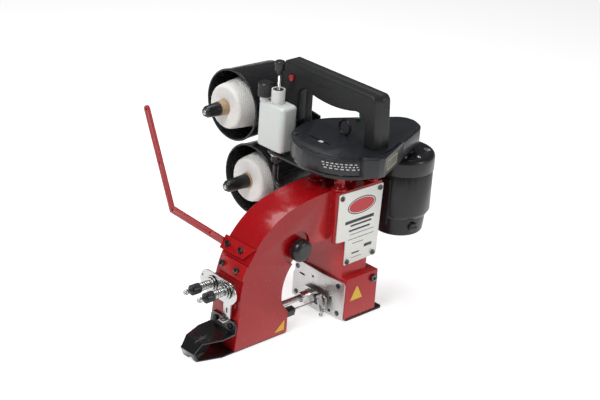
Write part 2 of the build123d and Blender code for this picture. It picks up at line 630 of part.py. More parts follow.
def motor_screws():
    made = []
    for k in range(4):
        a = radians(45 + 90 * k)
        made.append(screw((MOTOR_C[0] + 29 * cos(a), MOTOR_C[1] + 29 * sin(a), MOTOR_Z[3] - 0.4), (0, 0, 1),
                          3.4, 2.2, 1.8, 4, False))
    return made


# ---- deck, belt cover and handle -------------------------------------------------------

def deck_plate():
    """Cast plate on the column that carries the motor, the far handle post and the thread cups."""
    plate = plate_xy(belt_line(COVER_C, 65, COVER_END, 23), DECK_Z)
    tail = [(-12, 55), (-12, 122), (50, 122), (50, 85), (38, 50)]
    plate += plate_xy(chain(tail), DECK_Z)
    plate += block((-2, 26), (FAR_POST_Y[0], FAR_POST_Y[1]), (DECK_Z[1] - 1, FAR_POST_Z))
    plate -= rod("Z", (200, 220), (0, 0), SHAFT_R + 2)
    plate -= rod("Z", (200, 220), MOTOR_C, 9)
    return plate


def deck_screws():
    made = [screw((x, y, DECK_Z[1]), (0, 0, 1), 3.0, 1.6, 2, 14, False)
            for x, y in ((17.5, 0), (-17.5, 0), (0, 17.5), (0, -17.5))]
    made += [screw((MOTOR_C[0] + x, MOTOR_C[1], DECK_Z[1]), (0, 0, 1), 2.6, 1.6, 1.6, 8, False)
             for x in (-12, 12)]
    return made


def cover_shape(grow, z):
    return plate_xy(belt_line(COVER_C, COVER_R + grow, COVER_END, COVER_SMALL_R + grow), z)


def belt_cover():
    """Pressed cover over the toothed belt, with a rim groove and a thread slot in its top."""
    body = cover_shape(0, (COVER_Z[0], COVER_Z[1] - 3))
    body += cover_shape(-2.0, (COVER_Z[1] - 3, COVER_Z[1] - 1.4))
    body += cover_shape(-3.5, (COVER_Z[1] - 1.4, COVER_Z[1]))
    body -= cover_shape(-2.6, (COVER_Z[0] - 1, COVER_Z[1] - 3.2))
    body -= block((-34.5, -31), (-8, 30), (COVER_Z[1] - 6, COVER_Z[1] + 1))
    for x, y in COVER_FEET:
        body += ring("Z", (DECK_Z[1], COVER_Z[1] - 3), (x, y), 4.5, 2)
    return body


COVER_FEET = ((-45, 42), (-45, -42), (58, 33))


def cover_corner():
    """Solid front corner of the cover that carries the near handle post."""
    plan = [(-31, -58), (-31, -68), (-16, -79), (-6, -80), (40, -60.5), (100, -31), (60, -20)]
    body = plate_xy(chain(plan), (COVER_Z[0] - 1, COVER_Z[1] + 1))
    body = fillet([e for e in body.edges().filter_by(Axis.Z) if e.center().Y < -65 and e.center().X > -30], 7)
    body = fillet(body.faces().sort_by(Axis.Z)[-1].edges().filter_by(
        lambda e: e.center().Y < -35 and e.center().X > -30), 2.2)
    return body - cover_shape(0.05, (COVER_Z[0] - 5, COVER_Z[1] + 5))


def cover_screws():
    return [screw((x, y, COVER_Z[1]), (0, 0, 1), 3.2, 1.4, 1.9, 29, False) for x, y in COVER_FEET]


def cover_thread_ring():
    """Upright wire ring on the cover that guides the thread."""
    body = Pos(6, 6, COVER_Z[1] + 10.2) * Rot(0, 90, 0) * Torus(9.6, 1.5)
    return body + rod("Z", (COVER_Z[1] - 6, COVER_Z[1] + 1.5), (6, 6), 2)


def handle_outline(inset):
    """Side outline of the grip and its two posts in Y and Z, moved in by an amount."""
    low, far, top = NEAR_POST_Y[0] + inset, FAR_POST_Y[1] - inset, HANDLE_TOP_Z - inset
    near_z, far_z = COVER_Z[1] + inset, FAR_POST_Z + inset
    r = 9 - inset
    k = r * (1 - sqrt(0.5))
    edges = Line((low, near_z), (low + 4, top - r))
    edges += ThreePointArc((low + 4, top - r), (low + 4 + k, top - k), (low + 4 + r, top))
    near_side = FAR_POST_Y[0] + inset
    edges += Polyline((low + 4 + r, top), (far - 5, top), (far, top - 9), (far, far_z), (near_side, far_z))
    edges += Line((near_side, far_z), (near_side, 270 + inset))
    edges += ThreePointArc((near_side, 270 + inset), (81.5 + inset * 0.6, 277.4 + inset), (66, 277.6 + inset))
    edges += ThreePointArc((66, 277.6 + inset), (25, 273.4 + inset), (-16, 279.6 + inset))
    grip_end = (NEAR_POST_Y[1] - inset, 262)
    edges += ThreePointArc((-16, 279.6 + inset), (-29.5 - inset * 0.6, 276 + inset), grip_end)
    return edges + Polyline(grip_end, (grip_end[0], near_z), (low, near_z))


HANDLE_MID = (HANDLE_X[0] + HANDLE_X[1]) / 2
TRIGGER_X = (HANDLE_MID - 6.5, HANDLE_MID + 6.5)


def handle_half(x, hollow_x):
    """One half of the hollow handle."""
    shell = plate_yz(handle_outline(0), x)
    outer = [e for e in shell.edges() if abs(e.center().X - (x[0] if x[0] == HANDLE_X[0] else x[1])) < 0.01]
    shell = fillet(outer, 2.6)
    shell -= plate_yz(handle_outline(3.0), hollow_x)
    window_x = (TRIGGER_X[0] - GAP, TRIGGER_X[1] + GAP)
    return shell - block(window_x, (TRIGGER_Y[0] - GAP, TRIGGER_Y[1] + GAP), (262, 285))


def handle_left():
    return handle_half((HANDLE_X[0], HANDLE_MID), (HANDLE_X[0] + 3, HANDLE_MID + 1)) - rod(
        "X", (HANDLE_X[0] - 1, HANDLE_X[0] + 4), LOCK_AT, 4.5 + GAP)


def handle_right():
    return handle_half((HANDLE_MID, HANDLE_X[1]), (HANDLE_MID - 1, HANDLE_X[1] - 3))


HANDLE_JOINTS = ((10, 291), (56, 291), (104, 262), (-45, 262), (-42, 291))


def handle_screws():
    """Screws that join the halves of the handle."""
    return [screw((HANDLE_X[1] - 1.2, y, z), (1, 0, 0), 3.0, 1.2, 1.6, 22, False) for y, z in HANDLE_JOINTS]


def handle_foot_screws():
    spots = ((102, FAR_POST_Z + 3), (-46, COVER_Z[1] + 3))
    return [screw((HANDLE_MID, y, z), (0, 0, 1), 4, 3, 2.4, 9) for y, z in spots]


def trigger():
    """Trigger with a rounded lower edge and a stop flange inside the grip."""
    body = block(TRIGGER_X, TRIGGER_Y, (268.5, 287))
    body = fillet([e for e in body.edges() if e.center().Z < 269], 5)
    flange_x = (TRIGGER_X[0] - 1.5, TRIGGER_X[1] + 1.5)
    return body + block(flange_x, (TRIGGER_Y[0], TRIGGER_Y[1] + 3), (287, 290))


def switch_unit():
    """Snap switch above the trigger with its plunger."""
    body = block((HANDLE_MID - 5, HANDLE_MID + 5), (-38, -10), (296.5, 304.8))
    return body + block((HANDLE_MID - 2, HANDLE_MID + 2), (-26, -22), (294.8, 297))


def lock_button():
    """Button that holds the switch on, with its retaining flange inside the post."""
    body = rod("X", (HANDLE_X[0] - 2.5, HANDLE_X[0] + 3.2), LOCK_AT, 4.5)
    return body + rod("X", (HANDLE_X[0] + 3.2, HANDLE_X[0] + 5), LOCK_AT, 5.6)


# ---- oil supply ------------------------------------------------------------------------

def oil_bottle():
    """Hollow bottle with a pump neck and a filler neck on top and an outlet neck below."""
    body = block(BOTTLE_X, BOTTLE_Y, BOTTLE_Z)
    body = fillet(body.edges().filter_by(Axis.Z), 7)
    body = fillet(body.faces().sort_by(Axis.Z)[-1].edges() + body.faces().sort_by(Axis.Z)[0].edges(), 4)
    body += rod("Z", (BOTTLE_Z[1] - 1, PUMP_NECK_TOP), (NECK_X, PUMP_Y), PUMP_NECK_R)
    body += rod("Z", (BOTTLE_Z[1] - 1, 276), FILLER_AT, 6.2)
    body += rod("Z", (194, BOTTLE_Z[0] + 1), (NECK_X, OUTLET_Y), 8)
    inside = block([BOTTLE_X[0] + 1.6, BOTTLE_X[1] - 1.6], [BOTTLE_Y[0] + 1.6, BOTTLE_Y[1] - 1.6],
                   [BOTTLE_Z[0] + 1.6, BOTTLE_Z[1] - 1.6])
    body -= fillet(inside.edges().filter_by(Axis.Z), 5.5)
    body -= rod("Z", (BOTTLE_Z[1] - 3, PUMP_NECK_TOP), (NECK_X, PUMP_Y), 4.2)
    body -= rod("Z", (PUMP_NECK_TOP - 6, PUMP_NECK_TOP + 1), (NECK_X, PUMP_Y), PUMP_NECK_R - 1.5)
    body -= rod("Z", (BOTTLE_Z[1] - 3, 277), FILLER_AT, 4.8)
    return body - rod("Z", (193, BOTTLE_Z[0] + 3), (NECK_X, OUTLET_Y), 4.4)


def filler_cap():
    """Knurled screw cap of the filler neck."""
    z = (271.5, 290.0)
    cap = rod("Z", (z[0], z[1] - 1.5), FILLER_AT, FILLER_R)
    cap += rod("Z", (z[1] - 1.5, z[1]), FILLER_AT, FILLER_R, FILLER_R - 1.2)
    cap -= rod("Z", (z[0] - 1, 277), FILLER_AT, 6.2 + GAP)
    for k in range(24):
        a = 2 * pi * k / 24
        at = (FILLER_AT[0] + (FILLER_R + 0.3) * cos(a), FILLER_AT[1] + (FILLER_R + 0.3) * sin(a))
        cap -= rod("Z", (z[0] - 1, z[1] - 4), at, 0.7)
    return cap


def oil_pump():
    """Pump plunger: bright rod, black knob and the piston inside the bottle."""
    body = rod("Z", (240, 308), (NECK_X, PUMP_Y), 2.5)
    knob = rod("Z", (305, 311), (NECK_X, PUMP_Y), 4.2, 6.6) + rod("Z", (311, 321), (NECK_X, PUMP_Y), 6.6)
    knob += rod("Z", (321, 323), (NECK_X, PUMP_Y), 6.6, 5.0)
    return body + knob


def oil_fitting():
    """Hexagon outlet fitting screwed in the lower neck, with its hose tail."""
    at = (NECK_X, OUTLET_Y)
    body = rod("Z", (190, 203), at, 4.4) + hexagon("Z", (186, 194), at, 13) + rod("Z", (174, 186), at, 2.4)
    return body - rod("Z", (173, 204), at, 1.2)


HOSE_END_Y = BODY_HALF + 3.0


def oil_hose():
    """Short oil hose from the fitting to the nipple on the back of the arch."""
    x = NECK_X
    path = FilletPolyline((x, OUTLET_Y, 180), (x, OUTLET_Y, 152), (x, HOSE_END_Y, 152), radius=12.6)
    section = Plane(origin=(x, OUTLET_Y, 180), z_dir=(0, 0, -1)) * Circle(3.6)
    hole = Plane(origin=(x, OUTLET_Y, 180), z_dir=(0, 0, -1)) * Circle(2.4)
    return sweep(section - hole, path=path)


def bottle_bracket():
    """Strip under the deck plate with an eye round the bottle's outlet."""
    body = plate_xy(belt_line((NECK_X - 3, 26), 8, (NECK_X, OUTLET_Y), 11.5), (198.0, 201.0))
    body -= rod("Z", (190, 210), (NECK_X, OUTLET_Y), 8)
    return body + block((NECK_X - 10, NECK_X + 4), (20, 33), (200, DECK_Z[0]))


# ---- thread supply -----------------------------------------------------------------------


def thread_cup(name):
    """Deep cup, open towards -X, slightly tapered, with a rolled rim."""
    at = CUPS[name]
    depth = CUP_X[1] - CUP_X[0]
    cup = rod("X", CUP_X, at, CUP_R - 0.6, CUP_R - 3.5)
    cup += Pos(CUP_X[0] + 1.2, *at) * Rot(0, 90, 0) * Torus(CUP_R - 1.0, 1.0)
    cup -= rod("X", (CUP_X[0] - 1, CUP_X[1] - 2.5), at, CUP_R - 2.4, CUP_R - 5.4 + 2.5 * 2.9 / depth)
    return cup - rod("X", (30, 50), at, 5)


def spool_spindle(name):
    """Bright spindle with a flange against the bottom of the cup."""
    at = CUPS[name]
    spindle = rod("X", (KNOB_X[name][0] + 2, CUP_X[1] + 6), at, 4)
    spindle += rod("X", (CUP_X[1] - 5.5, CUP_X[1] - 2.5), at, 12)
    return spindle + hexagon("X", (CUP_X[1] + 3, CUP_X[1] + 6.5), at, 12)


def thread_cone(name):
    """Wound thread on its cone."""
    at = CUPS[name]
    front, back = CONE_X[name]
    cone = rod("X", (front, back), at, *CONE_R)
    cone = fillet(cone.faces().sort_by(Axis.X)[0].edges(), 5)
    return cone - rod("X", (front - 1, back + 1), at, *CONE_BORE)


def cone_core(name):
    """Paper cone inside the thread."""
    at = CUPS[name]
    front, back = CORE_FRONT[name], CONE_X[name][1]
    lean = (CONE_BORE[1] - CONE_BORE[0]) / (back - CONE_X[name][0] + 2)
    r_back = CONE_BORE[1] - lean
    r_front = r_back - lean * (back - front)
    return rod("X", (front, back), at, r_front - 0.1, r_back - 0.1) - rod(
        "X", (front - 1, back + 1), at, r_front - 2, r_back - 2)


def spool_knob(name):
    """Fluted knob that holds the cone on its spindle, with its bright screw end."""
    at = CUPS[name]
    x0, x1 = KNOB_X[name]
    knob = rod("X", (x0 + 4, x1), at, 8.0, 9.5) + rod("X", (x0, x0 + 4), at, 5.5, 8.0)
    knob -= rod("X", (x0 + 2, x1 + 1), at, 4 + FIT)
    for k in range(12):
        a = 2 * pi * k / 12
        knob -= rod("X", (x0 + 6, x1 - 3), (at[0] + 9.7 * cos(a), at[1] + 9.7 * sin(a)), 1.0)
    return knob


def cup_bracket():
    """Upright plate behind both cups, with a foot on the deck plate."""
    x = (CUP_X[1], CUP_X[1] + 3)
    upper, lower = CUPS["upper"], CUPS["lower"]
    body = plate_yz(belt_line(upper, 20, lower, 20), x)
    arm = [(92, DECK_Z[1]), (92, DECK_Z[1] + 14), (upper[0], upper[1] + 8),
           (lower[0] + 20, lower[1] + 20), (123.5, DECK_Z[1])]
    body += plate_yz(chain(arm), x)
    body += block((30, CUP_X[1] + 3), (92, 120), (DECK_Z[1], DECK_Z[1] + 3))
    for at in (upper, lower):
        body -= rod("X", (x[0] - 1, x[1] + 1), at, 4)
    return body


def cup_bracket_screws():
    return [screw((38, y, DECK_Z[1] + 3), (0, 0, 1), 3.6, 3, 2, 8) for y in (99, 113)]


# ---- thread tension -----------------------------------------------------------------------

def tension_bracket():
    """Bright pressed bracket: lobed plate with rolled edge, tab with slots, and a spacer on the leg."""
    y0, y1 = STUDS_Y
    lobes = belt_line((y0 - 4, STUD_Z - 2), 15, (y1 + 8, STUD_Z), 15)
    body = plate_yz(lobes, (TENSION_X, TENSION_X + 1.8))
    tab = [(-17, 70), (-4, 70), (-4, 47), (-8, 44), (-14, 44), (-17, 47)]
    body += plate_yz(chain(tab), (TENSION_X, TENSION_X + 1.8))
    body += block((TENSION_X - 9, TENSION_X + 1.8), (-15, -6), (43, 44.8))
    low, high = on_outer_arc(70)[0][0] - 0.8, on_outer_arc(92)[0][0] - 0.8
    spacer = [(TENSION_X + 1.5, 70), (low, 70), (high, 92), (TENSION_X + 1.5, 92)]
    body += plate_xz(chain(spacer), (-14, 24))
    body -= block((TENSION_X - 1, TENSION_X + 1.9), (-12, -9), (53, 60))
    body -= rod("Z", (40, 46), (TENSION_X - 5, -10.5), 1.3)
    for y in STUDS_Y:
        body -= rod("X", (TENSION_X - 1, TENSION_X + 12), (y, STUD_Z), 2)
    lugs = ((y0 - 12, STUD_Z + 6), (y1 + 18, STUD_Z + 5))
    for at in lugs:
        body -= rod("X", (TENSION_X - 1, TENSION_X + 1.9), at, 1.5)
    return body


def tension_studs():
    """Threaded studs with a slotted, thicker tip, and the dished discs that pinch the thread."""
    made = tension_discs()
    for y in STUDS_Y:
        stud = rod("X", (-238, TENSION_X + 1.8), (y, STUD_Z), 2) + rod("X", (-241, -236), (y, STUD_Z), 3.4)
        made.append(stud - block((-242, -239.5), (y - 4, y + 4), (STUD_Z - 0.5, STUD_Z + 0.5)))
    return made


def tension_discs():
    """Two dished discs on each stud that pinch the thread."""
    made = []
    for y in STUDS_Y:
        for x, r_back in ((-199.2, 10.5), (-202.2, 9.0)):
            disc = ring("X", (x, x + 1.2), (y, STUD_Z), r_back, 2)
            made.append(disc + ring("X", (x + 1.2, x + 2.4), (y, STUD_Z), 6, 2))
    return made


def tension_spring(y):
    """Coil spring drawn as a sleeve of its outer size."""
    return ring("X", (-218.0, -202.4), (y, STUD_Z), 5.6, 3.2)


def tension_nut(y):
    """Knurled nut that loads the spring."""
    nut = rod("X", (-229.5, -218.2), (y, STUD_Z), 6.8)
    for k in range(20):
        a = 2 * pi * k / 20
        nut -= rod("X", (-228, -220), (y + 7.0 * cos(a), STUD_Z + 7.0 * sin(a)), 0.55)
    nut += rod("X", (-231, -229.5), (y, STUD_Z), 5.2)
    return nut - rod("X", (-232, -217), (y, STUD_Z), 2 + FIT)


# ---- needle drive in the arch ----------------------------------------------------------------


def pivot_knob():
    """Domed knob on the end of the needle lever's pivot pin."""
    y = -BODY_HALF - 0.6
    knob = rod("Y", (y - 12, y), PIVOT, 15)
    knob = fillet(knob.faces().sort_by(Axis.Y)[0].edges(), 7)
    return knob + rod("Y", (y - 3, BODY_HALF - 0.5), PIVOT, 4)


def lever_point(reach, aside):
    """X and Z of a point on the lever's fork: its distance from the pivot and from the centre line."""
    run, drop = DOG_AT[0] - PIVOT[0], DOG_AT[1] - PIVOT[1]
    length = sqrt(run ** 2 + drop ** 2)
    along = (run * reach - drop * aside) / length
    across = (drop * reach + run * aside) / length
    return (PIVOT[0] + along, PIVOT[1] + across)


def needle_lever():
    """Lever bent round the throat: its upper arm takes the connecting rod, its fork drives the needle bar."""
    x, z = PIVOT
    inner = [(x - 5.3, z - 5.3), (x - 22, z - 13), (x - 41, z - 38), (x - 45, z - 60), lever_point(94, 6)]
    outer = [lever_point(94, -6), (x - 57, z - 60), (x - 53, z - 34), (x - 30, z - 4), (x - 5.3, z + 5.3)]
    body = plate_xz(chain(inner + [lever_point(111, 6), lever_point(111, -6)] + outer), LEVER_Y)
    body += rod("Y", LEVER_Y, PIVOT, LEVER_HUB_R)
    body += block((x - 5, x + 5), (LEVER_Y[0], LEVER_Y[0] + 6), (z, z + 40))
    body -= block((x - 75, x - 30), (NEEDLE_Y - 5.8, NEEDLE_Y + 5.8), (5, 52))
    slot = [lever_point(94.5, 2.6), lever_point(113, 2.6), lever_point(113, -2.6), lever_point(94.5, -2.6)]
    body -= plate_xz(chain(slot), (LEVER_Y[0] - 1, LEVER_Y[1] + 1))
    body -= rod("Y", (-30, 30), PIVOT, 4 + FIT)
    return body + rod("Y", (NEEDLE_Y - 4.5, NEEDLE_Y + 4.5), (x, ROD_Z), 2.5)


def connecting_rod():
    """Rod from the eccentric on the main shaft to the needle lever."""
    x = PIVOT[0]
    body = block((x, -18.5), (NEEDLE_Y - 3, NEEDLE_Y + 3), (ROD_Z - 3, ROD_Z + 3))
    body += rod("Y", (NEEDLE_Y - 3, NEEDLE_Y + 3), (x, ROD_Z), 7)
    strap = plate_xy(belt_line((-2, 0), 18.6, (10, 0), 18.6), (ROD_Z - 4, ROD_Z + 4))
    strap -= plate_xy(belt_line((-2, 0), 15.6, (10, 0), 15.6), (ROD_Z - 5, ROD_Z + 5))
    return body + strap - rod("Y", (NEEDLE_Y - 4, NEEDLE_Y + 4), (x, ROD_Z), 4.2)


# ---- trim --------------------------------------------------------------------------------------


def name_plate():
    """Light plate on the column, stepped like the column behind it."""
    outline = [(-40, 182), (39, 180.5), (35.5, 79), (-23, 78), (-23.5, 113.5), (-40.5, 115)]
    return fillet(plate_xz(chain(outline), (COLUMN_Y[0] - 1.2, COLUMN_Y[0])).edges().filter_by(Axis.Y), 2.0)


def name_plate_screws():
    y = COLUMN_Y[0] - 1.2
    return [screw((x, y, z), (0, -1, 0), 3.4, 1.6, 1.8, 7) for x, z in
            ((-35, 176), (33, 175), (28.5, 83.5), (-18.5, 82.5))]


def socket_screws():
    """Black socket screws of the cover plates, shoe, name plate, handle feet and cup bracket."""
    return (side_plate_screws() + foot_screws() + name_plate_screws() + base_cap_screw()
            + handle_foot_screws() + cup_bracket_screws())


def flat_screws():
    """Low-head screws of the rear cover, throat plate, sole, deck, belt cover, motor and handle."""
    return (rear_cover_screws() + throat_plate_screws() + base_screws() + deck_screws()
            + cover_screws() + motor_screws() + handle_screws())


# ---- write every sub-part -------------------------------------------------------------------------

PARTS = {
    "frame_casting": frame_casting,
    "rear_cover": rear_cover,
    "leg_side_cover": leg_side_cover,
    "thread_guide_bar": thread_guide_bar,
    "leg_foot": leg_foot,
    "base_plate": base_plate,
    "throat_plate": throat_plate,
    "feed_dog": feed_dog,
    "looper_shaft": looper_shaft,
    "looper": looper,
    "needle_bar": needle_bar,
    "needle_clamp_nut": needle_clamp_nut,
    "needle": needle,
    "presser_bar": presser_bar,
    "presser_spring": presser_spring,
    "presser_foot": presser_foot,
    "pivot_knob": pivot_knob,
    "needle_lever": needle_lever,
    "connecting_rod": connecting_rod,
    "main_shaft": main_shaft,
    "ball_bearings": ball_bearings,
    "driven_pulley": driven_pulley,
    "timing_belt": timing_belt,
    "motor_pulley": motor_pulley,
    "motor_bell": motor_bell,
    "motor_drum": motor_drum,
    "motor_cap": motor_cap,
    "motor_stator": motor_stator,
    "motor_armature": motor_armature,
    "brush_sets": brush_sets,
    "deck_plate": deck_plate,
    "belt_cover": belt_cover,
    "cover_corner": cover_corner,
    "cover_thread_ring": cover_thread_ring,
    "handle_left": handle_left,
    "handle_right": handle_right,
    "trigger": trigger,
    "switch_unit": switch_unit,
    "lock_button": lock_button,
    "oil_bottle": oil_bottle,
    "filler_cap": filler_cap,
    "oil_pump": oil_pump,
    "oil_fitting": oil_fitting,
    "oil_hose": oil_hose,
    "bottle_bracket": bottle_bracket,
    "thread_cups": lambda: [thread_cup(name) for name in CUPS],
    "thread_cones": lambda: [thread_cone(name) for name in CUPS],
    "cone_cores": lambda: [cone_core(name) for name in CUPS],
    "spool_spindles": lambda: [spool_spindle(name) for name in CUPS],
    "upper_spool_knob": lambda: spool_knob("upper"),
    "lower_spool_knob": lambda: spool_knob("lower"),
    "cup_bracket": cup_bracket,
    "tension_bracket": tension_bracket,
    "tension_studs": tension_studs,
    "tension_springs": lambda: [tension_spring(y) for y in STUDS_Y],
    "front_tension_nut": lambda: tension_nut(STUDS_Y[0]),
    "rear_tension_nut": lambda: tension_nut(STUDS_Y[1]),
    "name_plate": name_plate,
    "socket_screws": socket_screws,
    "flat_screws": flat_screws,
}


def write(name, shape):
    solids = list(shape) if isinstance(shape, (list, tuple)) else [shape]
    whole = Compound(children=[s for item in solids for s in item.solids()])
    export_step(whole, os.path.join("parts", name + ".step"))


if __name__ == "__main__":
    os.makedirs("parts", exist_ok=True)
    for name, make in PARTS.items():
        print(name)
        write(name, make())
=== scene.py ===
import json
from math import cos, pi, radians, sin, tau

import bmesh
import bpy
from mathutils import Matrix, Vector

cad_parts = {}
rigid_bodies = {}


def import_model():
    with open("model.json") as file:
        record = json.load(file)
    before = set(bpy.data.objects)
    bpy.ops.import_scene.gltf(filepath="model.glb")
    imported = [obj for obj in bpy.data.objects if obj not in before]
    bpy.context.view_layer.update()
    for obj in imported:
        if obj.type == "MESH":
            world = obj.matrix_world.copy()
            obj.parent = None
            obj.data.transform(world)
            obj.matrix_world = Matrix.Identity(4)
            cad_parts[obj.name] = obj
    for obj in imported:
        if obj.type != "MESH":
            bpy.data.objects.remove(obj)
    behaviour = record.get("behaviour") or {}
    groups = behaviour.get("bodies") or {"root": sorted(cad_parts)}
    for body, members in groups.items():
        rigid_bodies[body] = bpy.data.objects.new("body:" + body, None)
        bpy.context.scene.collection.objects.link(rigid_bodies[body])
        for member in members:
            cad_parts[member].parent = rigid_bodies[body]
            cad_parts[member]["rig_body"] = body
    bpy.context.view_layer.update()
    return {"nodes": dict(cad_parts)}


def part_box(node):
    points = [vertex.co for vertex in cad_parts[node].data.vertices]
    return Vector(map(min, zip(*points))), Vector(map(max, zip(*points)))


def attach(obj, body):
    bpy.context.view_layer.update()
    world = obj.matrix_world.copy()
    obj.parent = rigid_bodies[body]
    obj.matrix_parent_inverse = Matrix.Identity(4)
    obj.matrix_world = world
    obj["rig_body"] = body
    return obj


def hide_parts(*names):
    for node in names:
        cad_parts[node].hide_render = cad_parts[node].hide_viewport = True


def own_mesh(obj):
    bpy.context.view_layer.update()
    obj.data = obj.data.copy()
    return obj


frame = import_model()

# The looks of the bag closer: the CAD nodes keep their places, and the visible ones are shown by
# copies of their own meshes with rounded edges. Thread, springs, print and small hardware are added.
# Metres; lengths written in millimetres are multiplied by MM.

MM = 0.001
COVER_R = 69 * MM            # large end of the belt cover
BASE_FRONT_Y = -48 * MM      # front face of the looper base
LEG_FRONT_Y = -25 * MM       # front face of the needle leg and arch
COLUMN_TOP_Z = 184 * MM
DECK_LOW_Z = 207 * MM
BOTTLE_BODY_Z = (0.204, 0.266)
OIL_SHARE = 0.26             # part of the bottle's height that stands full
MOTOR_AXIS = (98 * MM, -16 * MM)
PUMP_KNOB_LENGTH = 18 * MM
PLATE_INK = 0.08 * MM        # how far print stands above the name plate
PRINT_RISE = 0.07 * MM       # how far print stands above the belt cover
STICKER_T = 0.15 * MM
SUNK = 0.4 * MM              # how deep a laid-on plate reaches into what carries it

# ---- camera, floor and light ---------------------------------------------------------------

CAMERA_AZIMUTH = radians(-44.8)
CAMERA_ELEVATION = radians(24.4)
CAMERA_ROLL = radians(3.97)
CAMERA_PLACE = (-1.4701, -1.4084, 1.0702)
LENS = 103.5


def add_camera():
    data = bpy.data.cameras.new("camera")
    data.lens = LENS
    data.sensor_width = 36
    camera = bpy.data.objects.new("camera", data)
    bpy.context.scene.collection.objects.link(camera)
    turn = Matrix.Rotation(CAMERA_AZIMUTH, 4, "Z") @ Matrix.Rotation(pi / 2 - CAMERA_ELEVATION, 4, "X")
    camera.matrix_world = Matrix.Translation(CAMERA_PLACE) @ turn @ Matrix.Rotation(CAMERA_ROLL, 4, "Z")
    bpy.context.scene.camera = camera


def add_light(name, place, target, size, watts, colour=(1, 1, 1)):
    data = bpy.data.lights.new(name, "AREA")
    data.shape = "RECTANGLE"
    data.size, data.size_y = size
    data.energy = watts
    data.color = colour
    light = bpy.data.objects.new(name, data)
    light.location = place
    light.rotation_euler = (Vector(target) - Vector(place)).to_track_quat("-Z", "Y").to_euler()
    bpy.context.scene.collection.objects.link(light)


def add_stage():
    mesh = bpy.data.meshes.new("floor")
    half = 6.0
    corners = [(-half, -half, 0), (half, -half, 0), (half, half, 0), (-half, half, 0)]
    mesh.from_pydata(corners, [], [(0, 1, 2, 3)])
    floor = bpy.data.objects.new("floor", mesh)
    bpy.context.scene.collection.objects.link(floor)
    paint = bpy.data.materials.new("floor_white")
    paint.use_nodes = True
    shader = paint.node_tree.nodes["Principled BSDF"]
    shader.inputs["Base Color"].default_value = (0.70, 0.70, 0.70, 1)
    shader.inputs["Roughness"].default_value = 0.7
    shader.inputs["Emission Color"].default_value = (1, 1, 1, 1)
    shader.inputs["Emission Strength"].default_value = 0.62
    mesh.materials.append(paint)
    world = bpy.data.worlds.new("studio")
    world.use_nodes = True
    world.node_tree.nodes["Background"].inputs[0].default_value = (0.95, 0.96, 1.0, 1)
    world.node_tree.nodes["Background"].inputs[1].default_value = 0.10
    bpy.context.scene.world = world
    middle = (-0.03, 0.0, 0.15)
    add_light("key", (-1.1, -0.2, 1.5), middle, (0.6, 0.6), 17)
    add_light("fill", (0.7, -1.5, 0.8), middle, (0.5, 0.9), 7)
    add_light("top", (0.1, 0.5, 1.7), middle, (1.2, 0.7), 15)
    bpy.context.scene.view_settings.view_transform = "Standard"


# ---- materials -------------------------------------------------------------------------------


def link(tree, source, output, target, socket):
    tree.links.new(source.outputs[output], target.inputs[socket])


def noise_node(tree, coords, scale, detail=3.0, roughness=0.55):
    node = tree.nodes.new("ShaderNodeTexNoise")
    node.inputs["Scale"].default_value = scale
    node.inputs["Detail"].default_value = detail
    node.inputs["Roughness"].default_value = roughness
    link(tree, coords, 0, node, "Vector")
    return node


def shade(colour, factor):
    return tuple(min(1.0, c * factor) for c in colour) + (1.0,)


def surface(name, colour, rough, metal=0.0, mottle=(60, 0.12), gloss=(250, 0.06), bumps=((900, 0.02),),
            stretch=(1, 1, 1), edge=None, **sockets):
    """Procedural material: mottled colour, uneven gloss and layers of fine relief (scale, depth in mm); with
    edge, convex edges are lightened, partly as edge wear and partly as a painted highlight.
    """
    material = bpy.data.materials.new(name)
    material.use_nodes = True
    tree = material.node_tree
    shader = tree.nodes["Principled BSDF"]
    place = tree.nodes.new("ShaderNodeTexCoord")
    coords = tree.nodes.new("ShaderNodeMapping")
    coords.inputs["Scale"].default_value = stretch
    tree.links.new(place.outputs["Object"], coords.inputs["Vector"])

    patches = noise_node(tree, coords, mottle[0])
    blend = tree.nodes.new("ShaderNodeMix")
    blend.data_type = "RGBA"
    blend.inputs[6].default_value = shade(colour, 1 - mottle[1])
    blend.inputs[7].default_value = shade(colour, 1 + mottle[1])
    link(tree, patches, "Fac", blend, 0)
    paint = (blend, 2)
    # Convex edges, found by pointiness, are mixed towards a lighter colour: partly edge wear, partly a
    # painted highlight along the edges.
    if edge:
        edge_wear_and_highlight_colour, low, high, amount = edge
        geometry = tree.nodes.new("ShaderNodeNewGeometry")
        ramp = tree.nodes.new("ShaderNodeMapRange")
        ramp.inputs["From Min"].default_value = low
        ramp.inputs["From Max"].default_value = high
        ramp.inputs["To Max"].default_value = amount
        tree.links.new(geometry.outputs["Pointiness"], ramp.inputs["Value"])
        edge_wear_and_highlight_mix = tree.nodes.new("ShaderNodeMix")
        edge_wear_and_highlight_mix.data_type = "RGBA"
        edge_wear_and_highlight_mix.inputs[7].default_value = tuple(edge_wear_and_highlight_colour) + (1.0,)
        link(tree, blend, 2, edge_wear_and_highlight_mix, 6)
        link(tree, ramp, "Result", edge_wear_and_highlight_mix, 0)
        paint = (edge_wear_and_highlight_mix, 2)
    link(tree, paint[0], paint[1], shader, "Base Color")

    smears = noise_node(tree, coords, gloss[0])
    level = tree.nodes.new("ShaderNodeMapRange")
    level.inputs["From Min"].default_value = 0.3
    level.inputs["From Max"].default_value = 0.7
    level.inputs["To Min"].default_value = max(0.02, rough - gloss[1])
    level.inputs["To Max"].default_value = rough + gloss[1]
    link(tree, smears, "Fac", level, "Value")
    link(tree, level, "Result", shader, "Roughness")

    last = None
    for scale, depth in bumps:
        relief = noise_node(tree, coords, scale, 2.0)
        bump = tree.nodes.new("ShaderNodeBump")
        bump.inputs["Distance"].default_value = depth * MM
        link(tree, relief, "Fac", bump, "Height")
        if last:
            link(tree, last, "Normal", bump, "Normal")
        last = bump
    link(tree, last, "Normal", shader, "Normal")
    shader.inputs["Metallic"].default_value = metal
    for socket, value in sockets.items():
        shader.inputs[socket.replace("_", " ")].default_value = value
    return material


